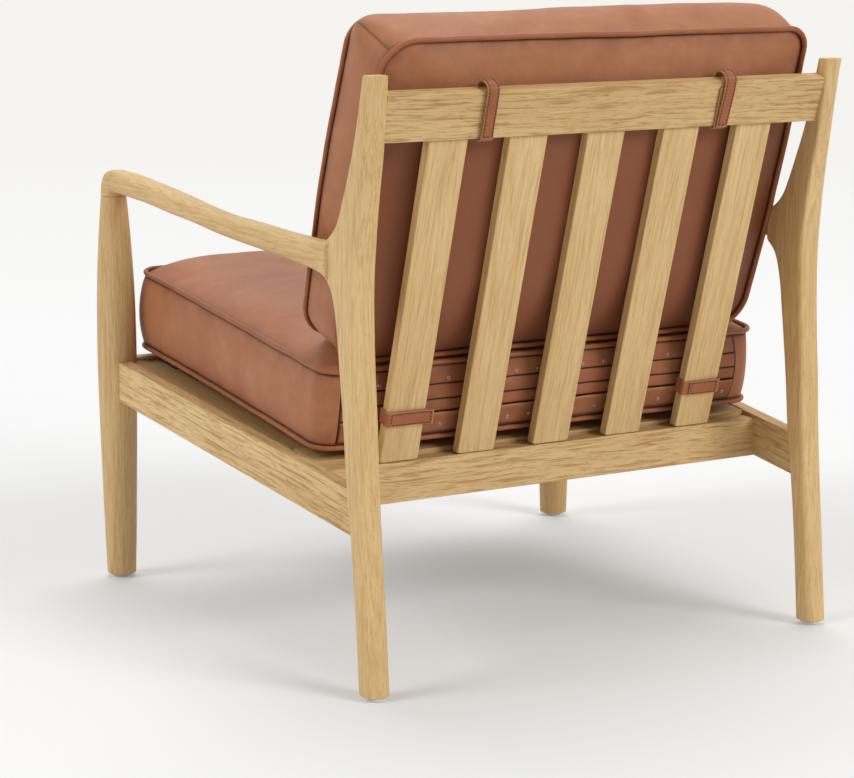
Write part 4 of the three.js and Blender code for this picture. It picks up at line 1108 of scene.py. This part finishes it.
for word, sign in SIDES:
    front_leg(word, sign)
    arm(word, sign)
    rear_leg(word, sign)
rails()
slats()
bands()
glides()
cushions()
rear_panel()
for word, sign in SIDES:
    crest_strap(word, sign)
    slat_strap(word, sign)
staples()


# Floor, lights and camera

BACKDROP = (0.913, 0.905, 0.871)


def background_seen(n):
    """1 for the rays that see the background, straight, in metal or through clear things."""
    path = n.add("LightPath", {}).outputs
    seen = n.maths("MAXIMUM", path["Is Camera Ray"], path["Is Glossy Ray"])
    return n.maths("MAXIMUM", seen, path["Is Transmission Ray"])


def stage():
    """A round floor that takes the shadow and fades into the backdrop."""
    mesh = bpy.data.meshes.new("floor")
    points = np.column_stack([6 * circle(96), np.zeros(96)])
    mesh.from_pydata(points.tolist(), [], [tuple(range(96))])
    floor = linked("floor", mesh)
    n = Nodes("floor_paper")
    n.tree.nodes.remove(n.shader)
    diffuse = n.add("BsdfDiffuse", {"Color": (0.885, 0.896, 0.912)}).outputs[0]
    pale = n.add("Emission", {"Color": BACKDROP}).outputs[0]
    lifted = n.mix_shader(n.maths("MULTIPLY", background_seen(n), 0.22), diffuse, pale)
    clear = n.add("BsdfTransparent", {}).outputs[0]
    length = n.add("VectorMath", {0: n.place()}, operation="LENGTH").outputs["Value"]
    faded = n.mix_shader(n.spread(length, 2.2, 5.5), lifted, clear)
    n.fill(n.tree.nodes["Material Output"], {"Surface": faded})
    mesh.materials.append(n.material)


def lamp(name, azimuth, elevation, strength, spread, colour=(1, 1, 1)):
    """A soft sun, from a compass direction as the views count it and a height, in degrees."""
    data = bpy.data.lights.new(name, "SUN")
    data.energy, data.angle, data.color = strength, math.radians(spread), colour
    obj = linked(name, data)
    a, e = math.radians(azimuth), math.radians(elevation)
    towards = Vector((math.sin(a) * math.cos(e), -math.cos(a) * math.cos(e), math.sin(e)))
    obj.rotation_mode = "QUATERNION"
    obj.rotation_quaternion = towards.to_track_quat("Z", "Y")


def lights():
    """A dim world that shows as the backdrop, and three soft suns."""
    world = bpy.data.worlds.new("studio")
    bpy.context.scene.world = world
    world.use_nodes = True
    n = Nodes(tree=world.node_tree)
    dim = n.tree.nodes["Background"]
    n.fill(dim, {"Color": (1, 0.985, 0.965), "Strength": 0.31})
    shown = n.add("Background", {"Color": BACKDROP}).outputs[0]
    surface = n.mix_shader(background_seen(n), dim.outputs[0], shown)
    n.fill(n.tree.nodes["World Output"], {"Surface": surface})
    lamp("overhead", 332, 63, 1.3, 45, (1, 0.99, 0.975))
    lamp("key", 206, 28, 1.45, 26)
    lamp("side", 86, 34, 1.12, 28)


def camera():
    """The photo's camera, as it was solved from the chair's own lines."""
    focal_pixels, image_width, sensor = 2535.1, 854, 36
    heading, pitch, roll = 0.525883, 0.190988, 0.001192
    data = bpy.data.cameras.new("camera")
    data.sensor_width = sensor
    data.lens = focal_pixels * sensor / image_width
    data.clip_start, data.clip_end = 0.05, 100
    obj = linked("camera", data)
    level_ahead = Vector((-math.sin(heading), -math.cos(heading), 0))
    forward = level_ahead * math.cos(pitch) + Vector((0, 0, -math.sin(pitch)))
    right = Vector((-math.cos(heading), math.sin(heading), 0))
    up = right.cross(forward)
    c, s = math.cos(roll), math.sin(roll)
    turn = Matrix((right * c + up * s, up * c - right * s, -forward)).transposed().to_4x4()
    obj.matrix_world = Matrix.Translation((1.579005, 2.628992, 0.856488)) @ turn
    bpy.context.scene.camera = obj


stage()
lights()
camera()
bpy.context.scene.view_settings.view_transform = "Standard"
